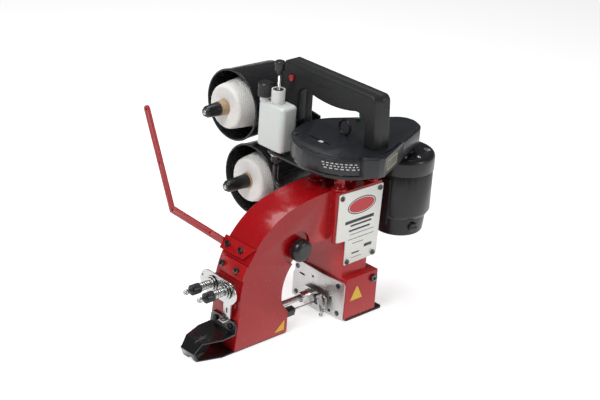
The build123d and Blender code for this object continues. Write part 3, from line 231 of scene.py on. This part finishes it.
def make_materials():
    made = {}
    # The red enamel's brighter red on convex edges is a painted highlight along the edges.
    made["red"] = surface("red_enamel", (0.33, 0.003, 0.006), 0.24, mottle=(30, 0.10), gloss=(120, 0.05),
                          bumps=((350, 0.05), (1500, 0.006)), Specular_IOR_Level=0.30,
                          Coat_Weight=0.22, Coat_Roughness=0.06,
                          edge=((0.60, 0.03, 0.03), 0.52, 0.62, 0.5))
    made["black"] = surface("black_enamel", (0.012, 0.012, 0.013), 0.30, gloss=(150, 0.07),
                            bumps=((700, 0.03), (2200, 0.008)), Specular_IOR_Level=0.35,
                            Coat_Weight=0.2, Coat_Roughness=0.10)
    made["foot"] = surface("foot_gloss_black", (0.010, 0.010, 0.011), 0.16, gloss=(150, 0.05),
                           bumps=((500, 0.04), (2200, 0.006)), Coat_Weight=0.35, Coat_Roughness=0.06)
    made["motor"] = surface("motor_black", (0.014, 0.0145, 0.016), 0.36, gloss=(90, 0.07),
                            bumps=((1100, 0.02), (180, 0.03)), Specular_IOR_Level=0.30,
                            Coat_Weight=0.18, Coat_Roughness=0.12)
    made["cover"] = surface("cover_grey", (0.016, 0.0175, 0.021), 0.34, mottle=(25, 0.15), gloss=(60, 0.05),
                            bumps=((500, 0.03), (2500, 0.008)), Specular_IOR_Level=0.35,
                            Coat_Weight=0.12, Coat_Roughness=0.15)
    made["grip"] = surface("grip_black", (0.016, 0.0165, 0.017), 0.50, mottle=(80, 0.2), gloss=(400, 0.08),
                           bumps=((1800, 0.05), (120, 0.03)), Specular_IOR_Level=0.32,
                           edge=((0.05, 0.05, 0.05), 0.53, 0.65, 0.6))
    made["knob"] = surface("knob_black", (0.013, 0.013, 0.013), 0.34, bumps=((1500, 0.02),))
    made["steel"] = surface("ground_steel", (0.60, 0.60, 0.58), 0.30, 1.0, mottle=(40, 0.10),
                            gloss=(900, 0.10), stretch=(1, 0.08, 1), bumps=((2500, 0.010),))
    made["plate"] = surface("throat_steel", (0.60, 0.60, 0.59), 0.36, 0.9, mottle=(35, 0.10),
                            gloss=(1200, 0.09), stretch=(1, 1, 0.06), bumps=((2600, 0.008), (90, 0.02)))
    made["chrome"] = surface("satin_nickel", (0.56, 0.56, 0.55), 0.24, 1.0, mottle=(50, 0.08),
                             gloss=(400, 0.06), bumps=((800, 0.008),))
    made["dark_steel"] = surface("dark_steel", (0.045, 0.045, 0.048), 0.33, 0.85, gloss=(500, 0.09),
                                 bumps=((1600, 0.012),), edge=((0.35, 0.35, 0.35), 0.54, 0.66, 0.5))
    made["zinc"] = surface("zinc", (0.50, 0.50, 0.49), 0.36, 1.0, gloss=(700, 0.1), bumps=((1800, 0.012),))
    made["aluminium"] = surface("turned_aluminium", (0.72, 0.72, 0.71), 0.34, 1.0, bumps=((2000, 0.01),))
    made["rubber"] = surface("rubber", (0.018, 0.018, 0.018), 0.62, bumps=((1300, 0.03),))
    made["hose"] = surface("oil_hose_black", (0.020, 0.019, 0.018), 0.32, bumps=((900, 0.01),))
    made["red_button"] = surface("red_button", (0.42, 0.01, 0.012), 0.28, bumps=((1200, 0.01),),
                                 Coat_Weight=0.3)
    made["green"] = surface("green_trigger", (0.02, 0.16, 0.085), 0.30, bumps=((1200, 0.015),),
                            Coat_Weight=0.2)
    made["bottle"] = surface("milky_plastic", (0.93, 0.93, 0.90), 0.33, mottle=(20, 0.03), gloss=(90, 0.05),
                             bumps=((260, 0.05), (1500, 0.01)), Transmission_Weight=0.30,
                             Subsurface_Weight=0.35, Subsurface_Scale=0.004, IOR=1.5)
    made["oil"] = surface("sewing_oil", (0.80, 0.74, 0.52), 0.12, mottle=(15, 0.03), bumps=((40, 0.01),),
                          Transmission_Weight=0.6, IOR=1.46)
    made["card"] = surface("cone_card", (0.42, 0.29, 0.17), 0.62, mottle=(150, 0.18), bumps=((700, 0.06),))
    made["label"] = surface("label_satin", (0.72, 0.72, 0.68), 0.38, 0.25, mottle=(18, 0.05),
                            gloss=(200, 0.06), bumps=((1500, 0.006),))
    made["ink"] = surface("label_ink", (0.06, 0.06, 0.07), 0.45, mottle=(400, 0.25), bumps=((1800, 0.006),))
    made["label_red"] = surface("label_red", (0.50, 0.015, 0.02), 0.36, mottle=(200, 0.10),
                                bumps=((1500, 0.006),))
    made["yellow"] = surface("sticker_yellow", (0.72, 0.46, 0.02), 0.40, mottle=(120, 0.10),
                             bumps=((900, 0.01),))
    made["olive"] = surface("sticker_olive", (0.33, 0.29, 0.05), 0.42, mottle=(150, 0.12),
                            bumps=((900, 0.01),))
    made["print"] = surface("cover_print", (0.62, 0.62, 0.60), 0.45, mottle=(500, 0.2),
                            bumps=((1500, 0.006),))
    made["yarn"] = yarn_material()
    return made


def yarn_material():
    """White cotton: fibres as fine relief over the wound strands, which are real ridges of the mesh."""
    return surface("cotton_thread", (0.80, 0.79, 0.76), 0.85, mottle=(260, 0.10), gloss=(500, 0.05),
                   bumps=((2600, 0.12), (700, 0.15)), Sheen_Weight=0.3, Sheen_Roughness=0.5)


# ---- making pieces -----------------------------------------------------------------------------


def add_piece(name, mesh, body, material):
    piece = bpy.data.objects.new(name, mesh)
    bpy.context.scene.collection.objects.link(piece)
    mesh.materials.clear()
    mesh.materials.append(material)
    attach(piece, body)
    return piece


def soft_edges(piece, width, segments=2, angle=32):
    """Real rounded edges: a bevel on every sharp edge, with flat faces kept flat in the shading."""
    piece.data.shade_smooth()
    bevel = piece.modifiers.new("edges", "BEVEL")
    bevel.width = width * MM
    bevel.segments = segments
    bevel.limit_method = "ANGLE"
    bevel.angle_limit = radians(angle)
    bevel.harden_normals = True
    bevel.use_clamp_overlap = True


def rounded_copy(node, width, material, segments=2, name=None):
    """A piece with the CAD node's own shape and true rounded edges, which stands for that node."""
    source = frame["nodes"][node]
    mesh = source.data.copy()
    work = bmesh.new()
    work.from_mesh(mesh)
    bmesh.ops.remove_doubles(work, verts=work.verts, dist=2e-6)
    bmesh.ops.dissolve_limit(work, angle_limit=radians(0.4), verts=work.verts, edges=work.edges)
    work.to_mesh(mesh)
    work.free()
    piece = add_piece(name or node + "_made", mesh, source["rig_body"], material)
    soft_edges(piece, width, segments)
    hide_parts(node)
    return piece


def lathe(profile, axis_point, axis, steps=64, ripple=None):
    """Mesh turned from (distance along the axis, radius) pairs; ripple may move a radius by its angle."""
    verts, faces = [], []
    x, y, z = Vector((1, 0, 0)), Vector((0, 1, 0)), Vector((0, 0, 1))
    ahead, side, up = {"X": (x, y, z), "Y": (y, z, x), "Z": (z, x, y)}[axis]
    for along, radius in profile:
        for k in range(steps):
            angle = tau * k / steps
            r = radius + (ripple(along, angle) if ripple else 0.0)
            verts.append(Vector(axis_point) + ahead * along + side * r * cos(angle) + up * r * sin(angle))
    for row in range(len(profile) - 1):
        for k in range(steps):
            a, b = row * steps + k, row * steps + (k + 1) % steps
            faces.append((a, b, b + steps, a + steps))
    mesh = bpy.data.meshes.new("lathe")
    mesh.from_pydata(verts, [], faces)
    work = bmesh.new()
    work.from_mesh(mesh)
    bmesh.ops.holes_fill(work, edges=work.edges)
    bmesh.ops.recalc_face_normals(work, faces=work.faces)
    work.to_mesh(mesh)
    work.free()
    mesh.shade_smooth()
    return mesh


def tube(points, radius, sides=10):
    """Round wire through points, closed at both ends."""
    verts, faces = [], []
    normal = (points[1] - points[0]).orthogonal().normalized()
    for i, point in enumerate(points):
        ahead = points[min(i + 1, len(points) - 1)] - points[max(i - 1, 0)]
        normal = (normal - ahead.normalized() * normal.dot(ahead.normalized())).normalized()
        side = ahead.normalized().cross(normal)
        for k in range(sides):
            angle = tau * k / sides
            verts.append(point + (normal * cos(angle) + side * sin(angle)) * radius)
    for i in range(len(points) - 1):
        for k in range(sides):
            a, b = i * sides + k, i * sides + (k + 1) % sides
            faces.append((a, b, b + sides, a + sides))
    faces.append(tuple(range(sides))[::-1])
    faces.append(tuple(range((len(points) - 1) * sides, len(points) * sides)))
    mesh = bpy.data.meshes.new("tube")
    mesh.from_pydata(verts, [], faces)
    mesh.shade_smooth()
    return mesh


def coil_points(start, end, centre, radius, turns):
    """Points of a coil spring along X with closed end turns."""
    count = int(turns * 28)
    points = []
    for i in range(count + 1):
        t = i / count
        squeezed = t - 0.045 * sin(tau * t)
        angle = tau * turns * t
        points.append(Vector((start + (end - start) * squeezed,
                              centre[0] + radius * cos(angle), centre[1] + radius * sin(angle))))
    return points


def joined(meshes, name):
    """One mesh out of several."""
    work = bmesh.new()
    for mesh in meshes:
        work.from_mesh(mesh)
        bpy.data.meshes.remove(mesh)
    mesh = bpy.data.meshes.new(name)
    work.to_mesh(mesh)
    work.free()
    mesh.shade_smooth()
    return mesh


def slab(outline, axis, low, high, name="slab"):
    """Flat plate from an outline in the two other coordinates."""
    place = {"X": lambda a, b, c: (c, a, b), "Y": lambda a, b, c: (a, c, b), "Z": lambda a, b, c: (a, b, c)}
    verts = [place[axis](a, b, c) for c in (low, high) for a, b in outline]
    n = len(outline)
    faces = [tuple(range(n))[::-1], tuple(range(n, 2 * n))]
    faces += [(k, (k + 1) % n, n + (k + 1) % n, n + k) for k in range(n)]
    mesh = bpy.data.meshes.new(name)
    mesh.from_pydata(verts, [], faces)
    work = bmesh.new()
    work.from_mesh(mesh)
    bmesh.ops.recalc_face_normals(work, faces=work.faces)
    work.to_mesh(mesh)
    work.free()
    return mesh


def round_box(a0, a1, b0, b1, r, steps=5):
    """Outline of a rectangle with rounded corners."""
    points = []
    corners = ((a1 - r, b1 - r, 0), (a0 + r, b1 - r, 90), (a0 + r, b0 + r, 180), (a1 - r, b0 + r, 270))
    for ca, cb, start in corners:
        for k in range(steps + 1):
            angle = radians(start + 90 * k / steps)
            points.append((ca + r * cos(angle), cb + r * sin(angle)))
    return points


# ---- the machine ---------------------------------------------------------------------------------

ROUNDED = {
    # node: (edge radius in mm, material)
    "frame_casting": (1.6, "red"),
    "rear_cover": (1.0, "red"),
    "leg_side_cover": (0.5, "red"),
    "thread_guide_bar": (0.4, "red"),
    "leg_foot": (0.9, "foot"),
    "base_plate": (0.6, "black"),
    "throat_plate": (0.35, "plate"),
    "presser_foot": (0.35, "chrome"),
    "deck_plate": (0.8, "black"),
    "belt_cover": (0.7, "cover"),
    "cover_corner": (0.6, "cover"),
    "motor_bell": (0.6, "motor"),
    "motor_drum": (0.5, "motor"),
    "motor_cap": (0.6, "motor"),
    "brush_sets": (0.3, "knob"),
    "handle_left": (0.5, "grip"),
    "handle_right": (0.5, "grip"),
    "trigger": (0.6, "green"),
    "lock_button": (0.7, "red_button"),
    "filler_cap": (0.25, "knob"),
    "oil_fitting": (0.3, "knob"),
    "bottle_bracket": (0.4, "black"),
    "thread_cups": (0.5, "black"),
    "cup_bracket": (0.5, "black"),
    "upper_spool_knob": (0.35, "knob"),
    "lower_spool_knob": (0.35, "knob"),
    "spool_spindles": (0.4, "zinc"),
    "tension_bracket": (0.35, "chrome"),
    "tension_studs": (0.2, "chrome"),
    "front_tension_nut": (0.15, "dark_steel"),
    "rear_tension_nut": (0.15, "dark_steel"),
    "needle_clamp_nut": (0.5, "dark_steel"),
    "needle_bar": (0.3, "steel"),
    "presser_bar": (0.3, "steel"),
    "feed_dog": (0.15, "steel"),
    "pivot_knob": (0.5, "knob"),
    "socket_screws": (0.25, "dark_steel"),
    "flat_screws": (0.25, "zinc"),
    "cone_cores": (0.3, "card"),
    "name_plate": (0.25, "label"),
}

PLAIN = {
    # node: material; these keep their CAD mesh
    "looper_shaft": "steel", "looper": "steel", "needle": "chrome", "needle_lever": "steel",
    "connecting_rod": "steel", "main_shaft": "steel", "ball_bearings": "steel",
    "driven_pulley": "aluminium", "motor_pulley": "aluminium", "timing_belt": "rubber",
    "motor_stator": "steel", "motor_armature": "steel", "switch_unit": "knob",
    "cover_thread_ring": "dark_steel", "oil_hose": "hose",
}


def repaint(piece, material, chosen):
    """Gives the faces whose centres pass a test a second finish."""
    piece.data.materials.append(material)
    for face in piece.data.polygons:
        if chosen(face.center):
            face.material_index = 1


def is_dark_screw(centre):
    """The throat plate's countersunk screws and the belt cover's screws are blackened."""
    on_throat_plate = centre.x < -18 * MM and centre.z < 60 * MM and abs(centre.y) < 45 * MM
    return (on_throat_plate and centre.x > -40 * MM) or 236 * MM < centre.z < 245 * MM


def finish_cad_nodes(kit):
    for node, (width, name) in ROUNDED.items():
        piece = rounded_copy(node, width, kit[name], 3 if width > 1 else 2)
        if node == "flat_screws":
            repaint(piece, kit["dark_steel"], is_dark_screw)
    for node, name in PLAIN.items():
        mesh = frame["nodes"][node].data
        for index in range(max(1, len(mesh.materials))):
            if index < len(mesh.materials):
                mesh.materials[index] = kit[name]
            else:
                mesh.materials.append(kit[name])


def cone_thread(index, axis_point, front, back, r_front, r_back, kit):
    """Cross-wound thread: a rounded front shoulder and crossing ridges that follow the winding."""
    length = back - front
    rows, strands, slant, relief = 150, 26, 150, 0.26 * MM
    hole, shoulder = 0.0112, 0.005
    face_steps, shoulder_steps = 14, 8

    def crossing(along, angle):
        t = (along - front) / length
        first = sin(strands * angle + slant * t)
        second = sin(strands * angle - slant * t)
        return relief * (first + second) * min(1.0, 8 * t + 0.3)

    profile = [(front + 0.0008, hole)]
    flat = r_front - shoulder - 0.2 * MM - hole
    profile += [(front + 0.0002, hole + flat * k / face_steps) for k in range(1, face_steps + 1)]
    for k in range(1, shoulder_steps + 1):
        angle = radians(90 * k / shoulder_steps)
        profile.append((front + shoulder * (1 - cos(angle)), r_front - shoulder + shoulder * sin(angle)))
    for k in range(1, rows + 1):
        t = k / rows
        profile.append((front + shoulder + (length - 0.0055) * t, r_front + (r_back - r_front - 0.0003) * t))
    mesh = lathe(profile, axis_point, "X", 260, crossing)
    return add_piece("thread_cone_%d" % index, mesh, "frame", kit["yarn"])


def thread_supply(kit):
    """Wound thread of both cones; the lower cone is 8 mm shorter in front."""
    low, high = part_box("thread_cones")
    shy = 0.3 * MM
    fronts = (("upper_spool_knob", low[0]), ("lower_spool_knob", low[0] + 8 * MM))
    for index, (knob, front) in enumerate(fronts):
        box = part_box(knob)
        centre = (0.0, (box[0][1] + box[1][1]) / 2, (box[0][2] + box[1][2]) / 2)
        piece = cone_thread(index, centre, front + shy, high[0] - shy, 0.0302, 0.0392, kit)
        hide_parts("thread_cones")


def springs(kit):
    """Coils of the two tension springs and of the presser spring; the presser coil gets a mesh of its own.
    """
    low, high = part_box("tension_springs")
    nuts = [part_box(name) for name in ("front_tension_nut", "rear_tension_nut")]
    z = (low[2] + high[2]) / 2
    wire = 0.9 * MM
    meshes = []
    for nut_low, nut_high in nuts:
        y = (nut_low[1] + nut_high[1]) / 2
        meshes.append(tube(coil_points(low[0] + wire, high[0] - wire, (y, z), 4.7 * MM, 5.5), wire))
    piece = add_piece("tension_coils", joined(meshes, "tension_coils"), "frame", kit["chrome"])
    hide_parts("tension_springs")
    low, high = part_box("presser_spring")
    wire = 0.32 * MM
    middle = ((low[1] + high[1]) / 2, (low[2] + high[2]) / 2)
    points = coil_points(low[0] + wire, high[0] - wire, middle, 4.75 * MM, 12)
    piece = add_piece("presser_coil", tube(points, wire), "frame", kit["dark_steel"])
    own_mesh(piece)
    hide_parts("presser_spring")


def bottle(kit):
    """Milky bottle, and the oil that stands in it."""
    low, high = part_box("oil_bottle")
    rounded_copy("oil_bottle", 0.8, kit["bottle"], 3)
    wall = 1.9 * MM
    body_low, shoulder = BOTTLE_BODY_Z
    level = body_low + OIL_SHARE * (shoulder - body_low)
    outline = round_box(low[0] + wall, high[0] - wall, low[1] + wall, high[1] - wall, 5 * MM)
    oil = add_piece("oil_fill", slab(outline, "Z", body_low + wall, level), "frame", kit["oil"])
    soft_edges(oil, 0.6)


def name_plate_print(kit):
    """Generic print: a blank red oval with a dark rim, and ruled lines where a data plate has its text."""
    low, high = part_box("name_plate")
    face, left, top = low[1], low[0], high[2]
    behind = face + 0.3 * MM

    oval = (left + 42 * MM, top - 23 * MM)

    def ellipse(a, b):
        return [(oval[0] + a * cos(tau * k / 48), oval[1] + b * sin(tau * k / 48)) for k in range(48)]

    ovals = (("plate_oval_rim", 25.5, 12.0, 0.06, "ink"), ("plate_oval_line", 23.8, 10.5, 0.10, "label"),
             ("plate_oval", 22.8, 9.6, 0.14, "label_red"))
    for name, a, b, lift, finish in ovals:
        mesh = slab(ellipse(a * MM, b * MM), "Y", face - lift * MM, behind)
        add_piece(name, mesh, "frame", kit[finish])
    # ruled lines from the heading down: left end, right end and thickness in mm
    ruled = ((14, 66, 4.4), (24, 62, 2.6), (22, 60, 2.6), (24, 68, 0.8), (22, 68, 0.8),
             (30, 50, 0.8), (52, 66, 4.2), (30, 44, 2.0), (30, 48, 0.8))
    first_line, pitch = 41, 6.8
    lines = []
    for k, (x0, x1, thick) in enumerate(ruled):
        z = top - (first_line + pitch * k) * MM
        outline = round_box(left + x0 * MM, left + x1 * MM, z - thick * MM, z, 0.3 * MM)
        lines.append(slab(outline, "Y", face - PLATE_INK, behind))
    add_piece("plate_lines", joined(lines, "plate_lines"), "frame", kit["ink"])


def plaque(name, origin, right, up, outline, thick, material, body="frame"):
    """Thin plate laid on a surface: its outline is drawn along the right and up directions."""
    right, up = Vector(right).normalized(), Vector(up).normalized()
    out = right.cross(up)
    levels = (Vector(origin) - out * SUNK, Vector(origin) + out * thick)
    verts = [level + right * a + up * b for level in levels for a, b in outline]
    n = len(outline)
    faces = [tuple(range(n))[::-1], tuple(range(n, 2 * n))]
    faces += [(k, (k + 1) % n, n + (k + 1) % n, n + k) for k in range(n)]
    mesh = bpy.data.meshes.new(name)
    mesh.from_pydata(verts, [], faces)
    return add_piece(name, mesh, body, material)


def pump(kit):
    """Bright plunger rod with a turned black knob, and the black seal in the bottle's neck."""
    low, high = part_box("oil_pump")
    x, y = (low[0] + high[0]) / 2, (low[1] + high[1]) / 2
    top = high[2]
    rod_top, knob_low = top - 15 * MM, top - PUMP_KNOB_LENGTH
    rod = [(low[2], 0.0), (low[2] + 0.2 * MM, 2.3 * MM), (low[2] + 0.5 * MM, 2.5 * MM)]
    rod += [(rod_top - 0.1 * MM, 2.5 * MM), (rod_top, 0.0)]
    knob = [(knob_low, 2.4 * MM), (knob_low, 3.9 * MM), (knob_low + 0.5 * MM, 4.3 * MM)]
    knob += [(top - 12.4 * MM, 6.3 * MM), (top - 11.6 * MM, 6.6 * MM), (top - 2.2 * MM, 6.6 * MM)]
    for k in range(1, 7):
        angle = radians(15 * k)
        knob.append((top - 2.2 * MM * (1 - sin(angle)), 4.6 * MM + 2.0 * MM * cos(angle)))
    knob += [(top - 0.35 * MM, 3.2 * MM), (top - 0.6 * MM, 0.0)]

    def grooves(along, angle):
        held = top - 11.4 * MM < along < top - 2.4 * MM
        return -0.25 * MM * max(0.0, cos(18 * angle)) ** 4 if held else 0.0

    centre = (x, y, 0)
    turned = (("pump_rod", rod, None, "steel"), ("pump_knob", knob, grooves, "knob"))
    for name, profile, ripple, finish in turned:
        piece = add_piece(name, lathe(profile, centre, "Z", 108, ripple), "pump", kit[finish])
        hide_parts("oil_pump")
    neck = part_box("oil_bottle")[1][2]
    seal = [(neck - 5.8 * MM, 2.8 * MM), (neck - 5.8 * MM, 7.3 * MM), (neck - 1.4 * MM, 7.3 * MM)]
    seal += [(neck - 0.9 * MM, 6.9 * MM), (neck - 0.9 * MM, 3.4 * MM), (neck - 0.3 * MM, 3.1 * MM),
             (neck - 0.3 * MM, 2.8 * MM)]
    add_piece("pump_seal", turned_ring(seal, centre, "Z"), "frame", kit["rubber"])


def turned_ring(profile, axis_point, axis, steps=64):
    """Ring turned from a closed profile of (distance along the axis, radius) pairs."""
    mesh = lathe(profile + profile[:1], axis_point, axis, steps)
    work = bmesh.new()
    work.from_mesh(mesh)
    bmesh.ops.remove_doubles(work, verts=work.verts, dist=1e-6)
    caps = [face for face in work.faces if len(face.verts) > 4]
    bmesh.ops.delete(work, geom=caps, context="FACES_ONLY")
    bmesh.ops.recalc_face_normals(work, faces=work.faces)
    work.to_mesh(mesh)
    work.free()
    mesh.shade_smooth()
    return mesh


def cover_details(kit):
    """Bead and printed marks round the belt cover, the patch beside its thread slot and a blank sticker."""
    low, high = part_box("belt_cover")
    centre = Vector((low[0] + COVER_R, 0, 0))
    bead = []
    for degrees in range(-178, -88, 3):
        a = radians(degrees)
        bead.append(centre + Vector((COVER_R * cos(a), COVER_R * sin(a), high[2] - 5.2 * MM)))
    add_piece("cover_bead", tube(bead, 0.55 * MM), "frame", kit["cover"])
    # three rows of dashes: their middles and widths in degrees round the cover
    rows = ((range(-158, -120, 5), 3.0), (range(-157, -114, 4), 2.2), (range(-155, -118, 6), 3.6))
    marks = []
    for row, (middles, width) in enumerate(rows):
        z = high[2] - (10.0 + 3.4 * row) * MM
        marks += [curved_mark(centre, COVER_R, middle, width, z, 1.3 * MM) for middle in middles]
    add_piece("cover_marks", joined(marks, "cover_marks"), "frame", kit["print"])
    plaque("cover_patch", (low[0] + 32 * MM, 6.5 * MM, high[2]), (1, 0, 0), (0, 1, 0),
           round_box(-2.4 * MM, 2.4 * MM, -3.2 * MM, 3.2 * MM, 1.0 * MM), 0.3 * MM, kit["label"])
    corner_low, corner_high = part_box("cover_corner")
    along = Vector((46, 19.5, 0)).normalized()
    start = Vector((-6, -80, 0)) * MM + Vector((0, 0, (corner_low[2] + corner_high[2]) / 2 - 1 * MM))
    layers = (("corner_sticker", 0.0, 0.12, "olive"), ("corner_sticker_field", 1.6, 0.2, "cover"))
    for name, inset, lift, finish in layers:
        half, tall = (17 - inset) * MM, (7 - inset) * MM
        outline = round_box(-half, half, -tall, tall, 1.2 * MM)
        plaque(name, start + along * 25 * MM, along, (0, 0, 1), outline, lift * MM, kit[finish])


def curved_mark(centre, radius, middle, width, z, height):
    """Short printed dash that follows the cover's round side."""
    steps = 4
    inner, outer = radius - 0.3 * MM, radius + PRINT_RISE
    outline = []
    for r, order in ((outer, range(steps + 1)), (inner, range(steps, -1, -1))):
        for k in order:
            a = radians(middle + width * (k / steps - 0.5))
            outline.append((centre.x + r * cos(a), centre.y + r * sin(a)))
    return slab(outline, "Z", z, z + height, "mark")


def stickers(kit):
    """Plain yellow stickers on the looper base and on the needle leg."""
    triangle = [(-11 * MM, -9 * MM), (11 * MM, -9 * MM), (1 * MM, 9.5 * MM), (-1 * MM, 9.5 * MM)]
    corner = [(-8.5 * MM, -6 * MM), (7.5 * MM, -6 * MM), (7.5 * MM, 7 * MM), (6.5 * MM, 7.4 * MM)]
    spots = (("base_sticker", (-4 * MM, BASE_FRONT_Y, 37 * MM), triangle),
             ("leg_sticker", (-117 * MM, LEG_FRONT_Y, 13 * MM), corner))
    for name, origin, outline in spots:
        plaque(name, origin, (1, 0, 0), (0, 0, 1), outline, STICKER_T, kit["yellow"])


def screw_head(name, centre, radius, height, material):
    """Domed screw head that stands upright, with a round drive hole."""
    profile = [(-0.8 * MM, radius), (height * 0.35, radius), (height * 0.75, radius * 0.86),
               (height, radius * 0.6), (height, radius * 0.38), (height * 0.35, radius * 0.34),
               (height * 0.3, 0.0)]
    add_piece(name, lathe(profile, centre, "Z", 40), "frame", material)


def column_bosses(kit):
    """Turned bosses between the column and the deck."""
    top, deck = COLUMN_TOP_Z, DECK_LOW_Z
    for index, (x, y) in enumerate(((-30, -27), (-31, 14), (27, -27))):
        centre = (x * MM, y * MM, 0)
        profile = [(top - 1 * MM, 10.5 * MM), (top + 2 * MM, 10.5 * MM), (top + 3.2 * MM, 9.4 * MM),
                   (top + 4.2 * MM, 7.2 * MM), (deck - 3 * MM, 6.8 * MM), (deck - 1.2 * MM, 8.6 * MM),
                   (deck + 0.5 * MM, 8.8 * MM)]
        add_piece("column_boss_%d" % index, lathe(profile, centre, "Z", 56), "frame", kit["red"])


def small_hardware(kit):
    """Terminal and screw on the motor's top, and the bright screw ends in the spool knobs."""
    cap_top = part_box("motor_cap")[0][2] + 24 * MM
    terminal = (93.9 * MM, -46.2 * MM, cap_top - 1.6 * MM)
    screw_head("motor_terminal", terminal, 3.4 * MM, 3.2 * MM, kit["zinc"])
    beside = (MOTOR_AXIS[0] + 24 * MM, MOTOR_AXIS[1] - 22 * MM, cap_top - 1.2 * MM)
    screw_head("motor_cap_screw", beside, 2.6 * MM, 2.4 * MM, kit["zinc"])
    for name, body in (("upper_spool_knob", "upper_knob"), ("lower_spool_knob", "lower_knob")):
        low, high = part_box(name)
        centre = (low[0], (low[1] + high[1]) / 2, (low[2] + high[2]) / 2)
        profile = [(2.5 * MM, 3.2 * MM), (-0.6 * MM, 3.2 * MM), (-1.3 * MM, 2.6 * MM),
                   (-1.6 * MM, 1.2 * MM), (-1.6 * MM, 0.0)]
        add_piece(name + "_tip", lathe(profile, centre, "X", 40), body, kit["zinc"])


def build(kit):
    finish_cad_nodes(kit)
    thread_supply(kit)
    springs(kit)
    bottle(kit)
    pump(kit)
    name_plate_print(kit)
    cover_details(kit)
    stickers(kit)
    column_bosses(kit)
    small_hardware(kit)


add_camera()
add_stage()
build(make_materials())
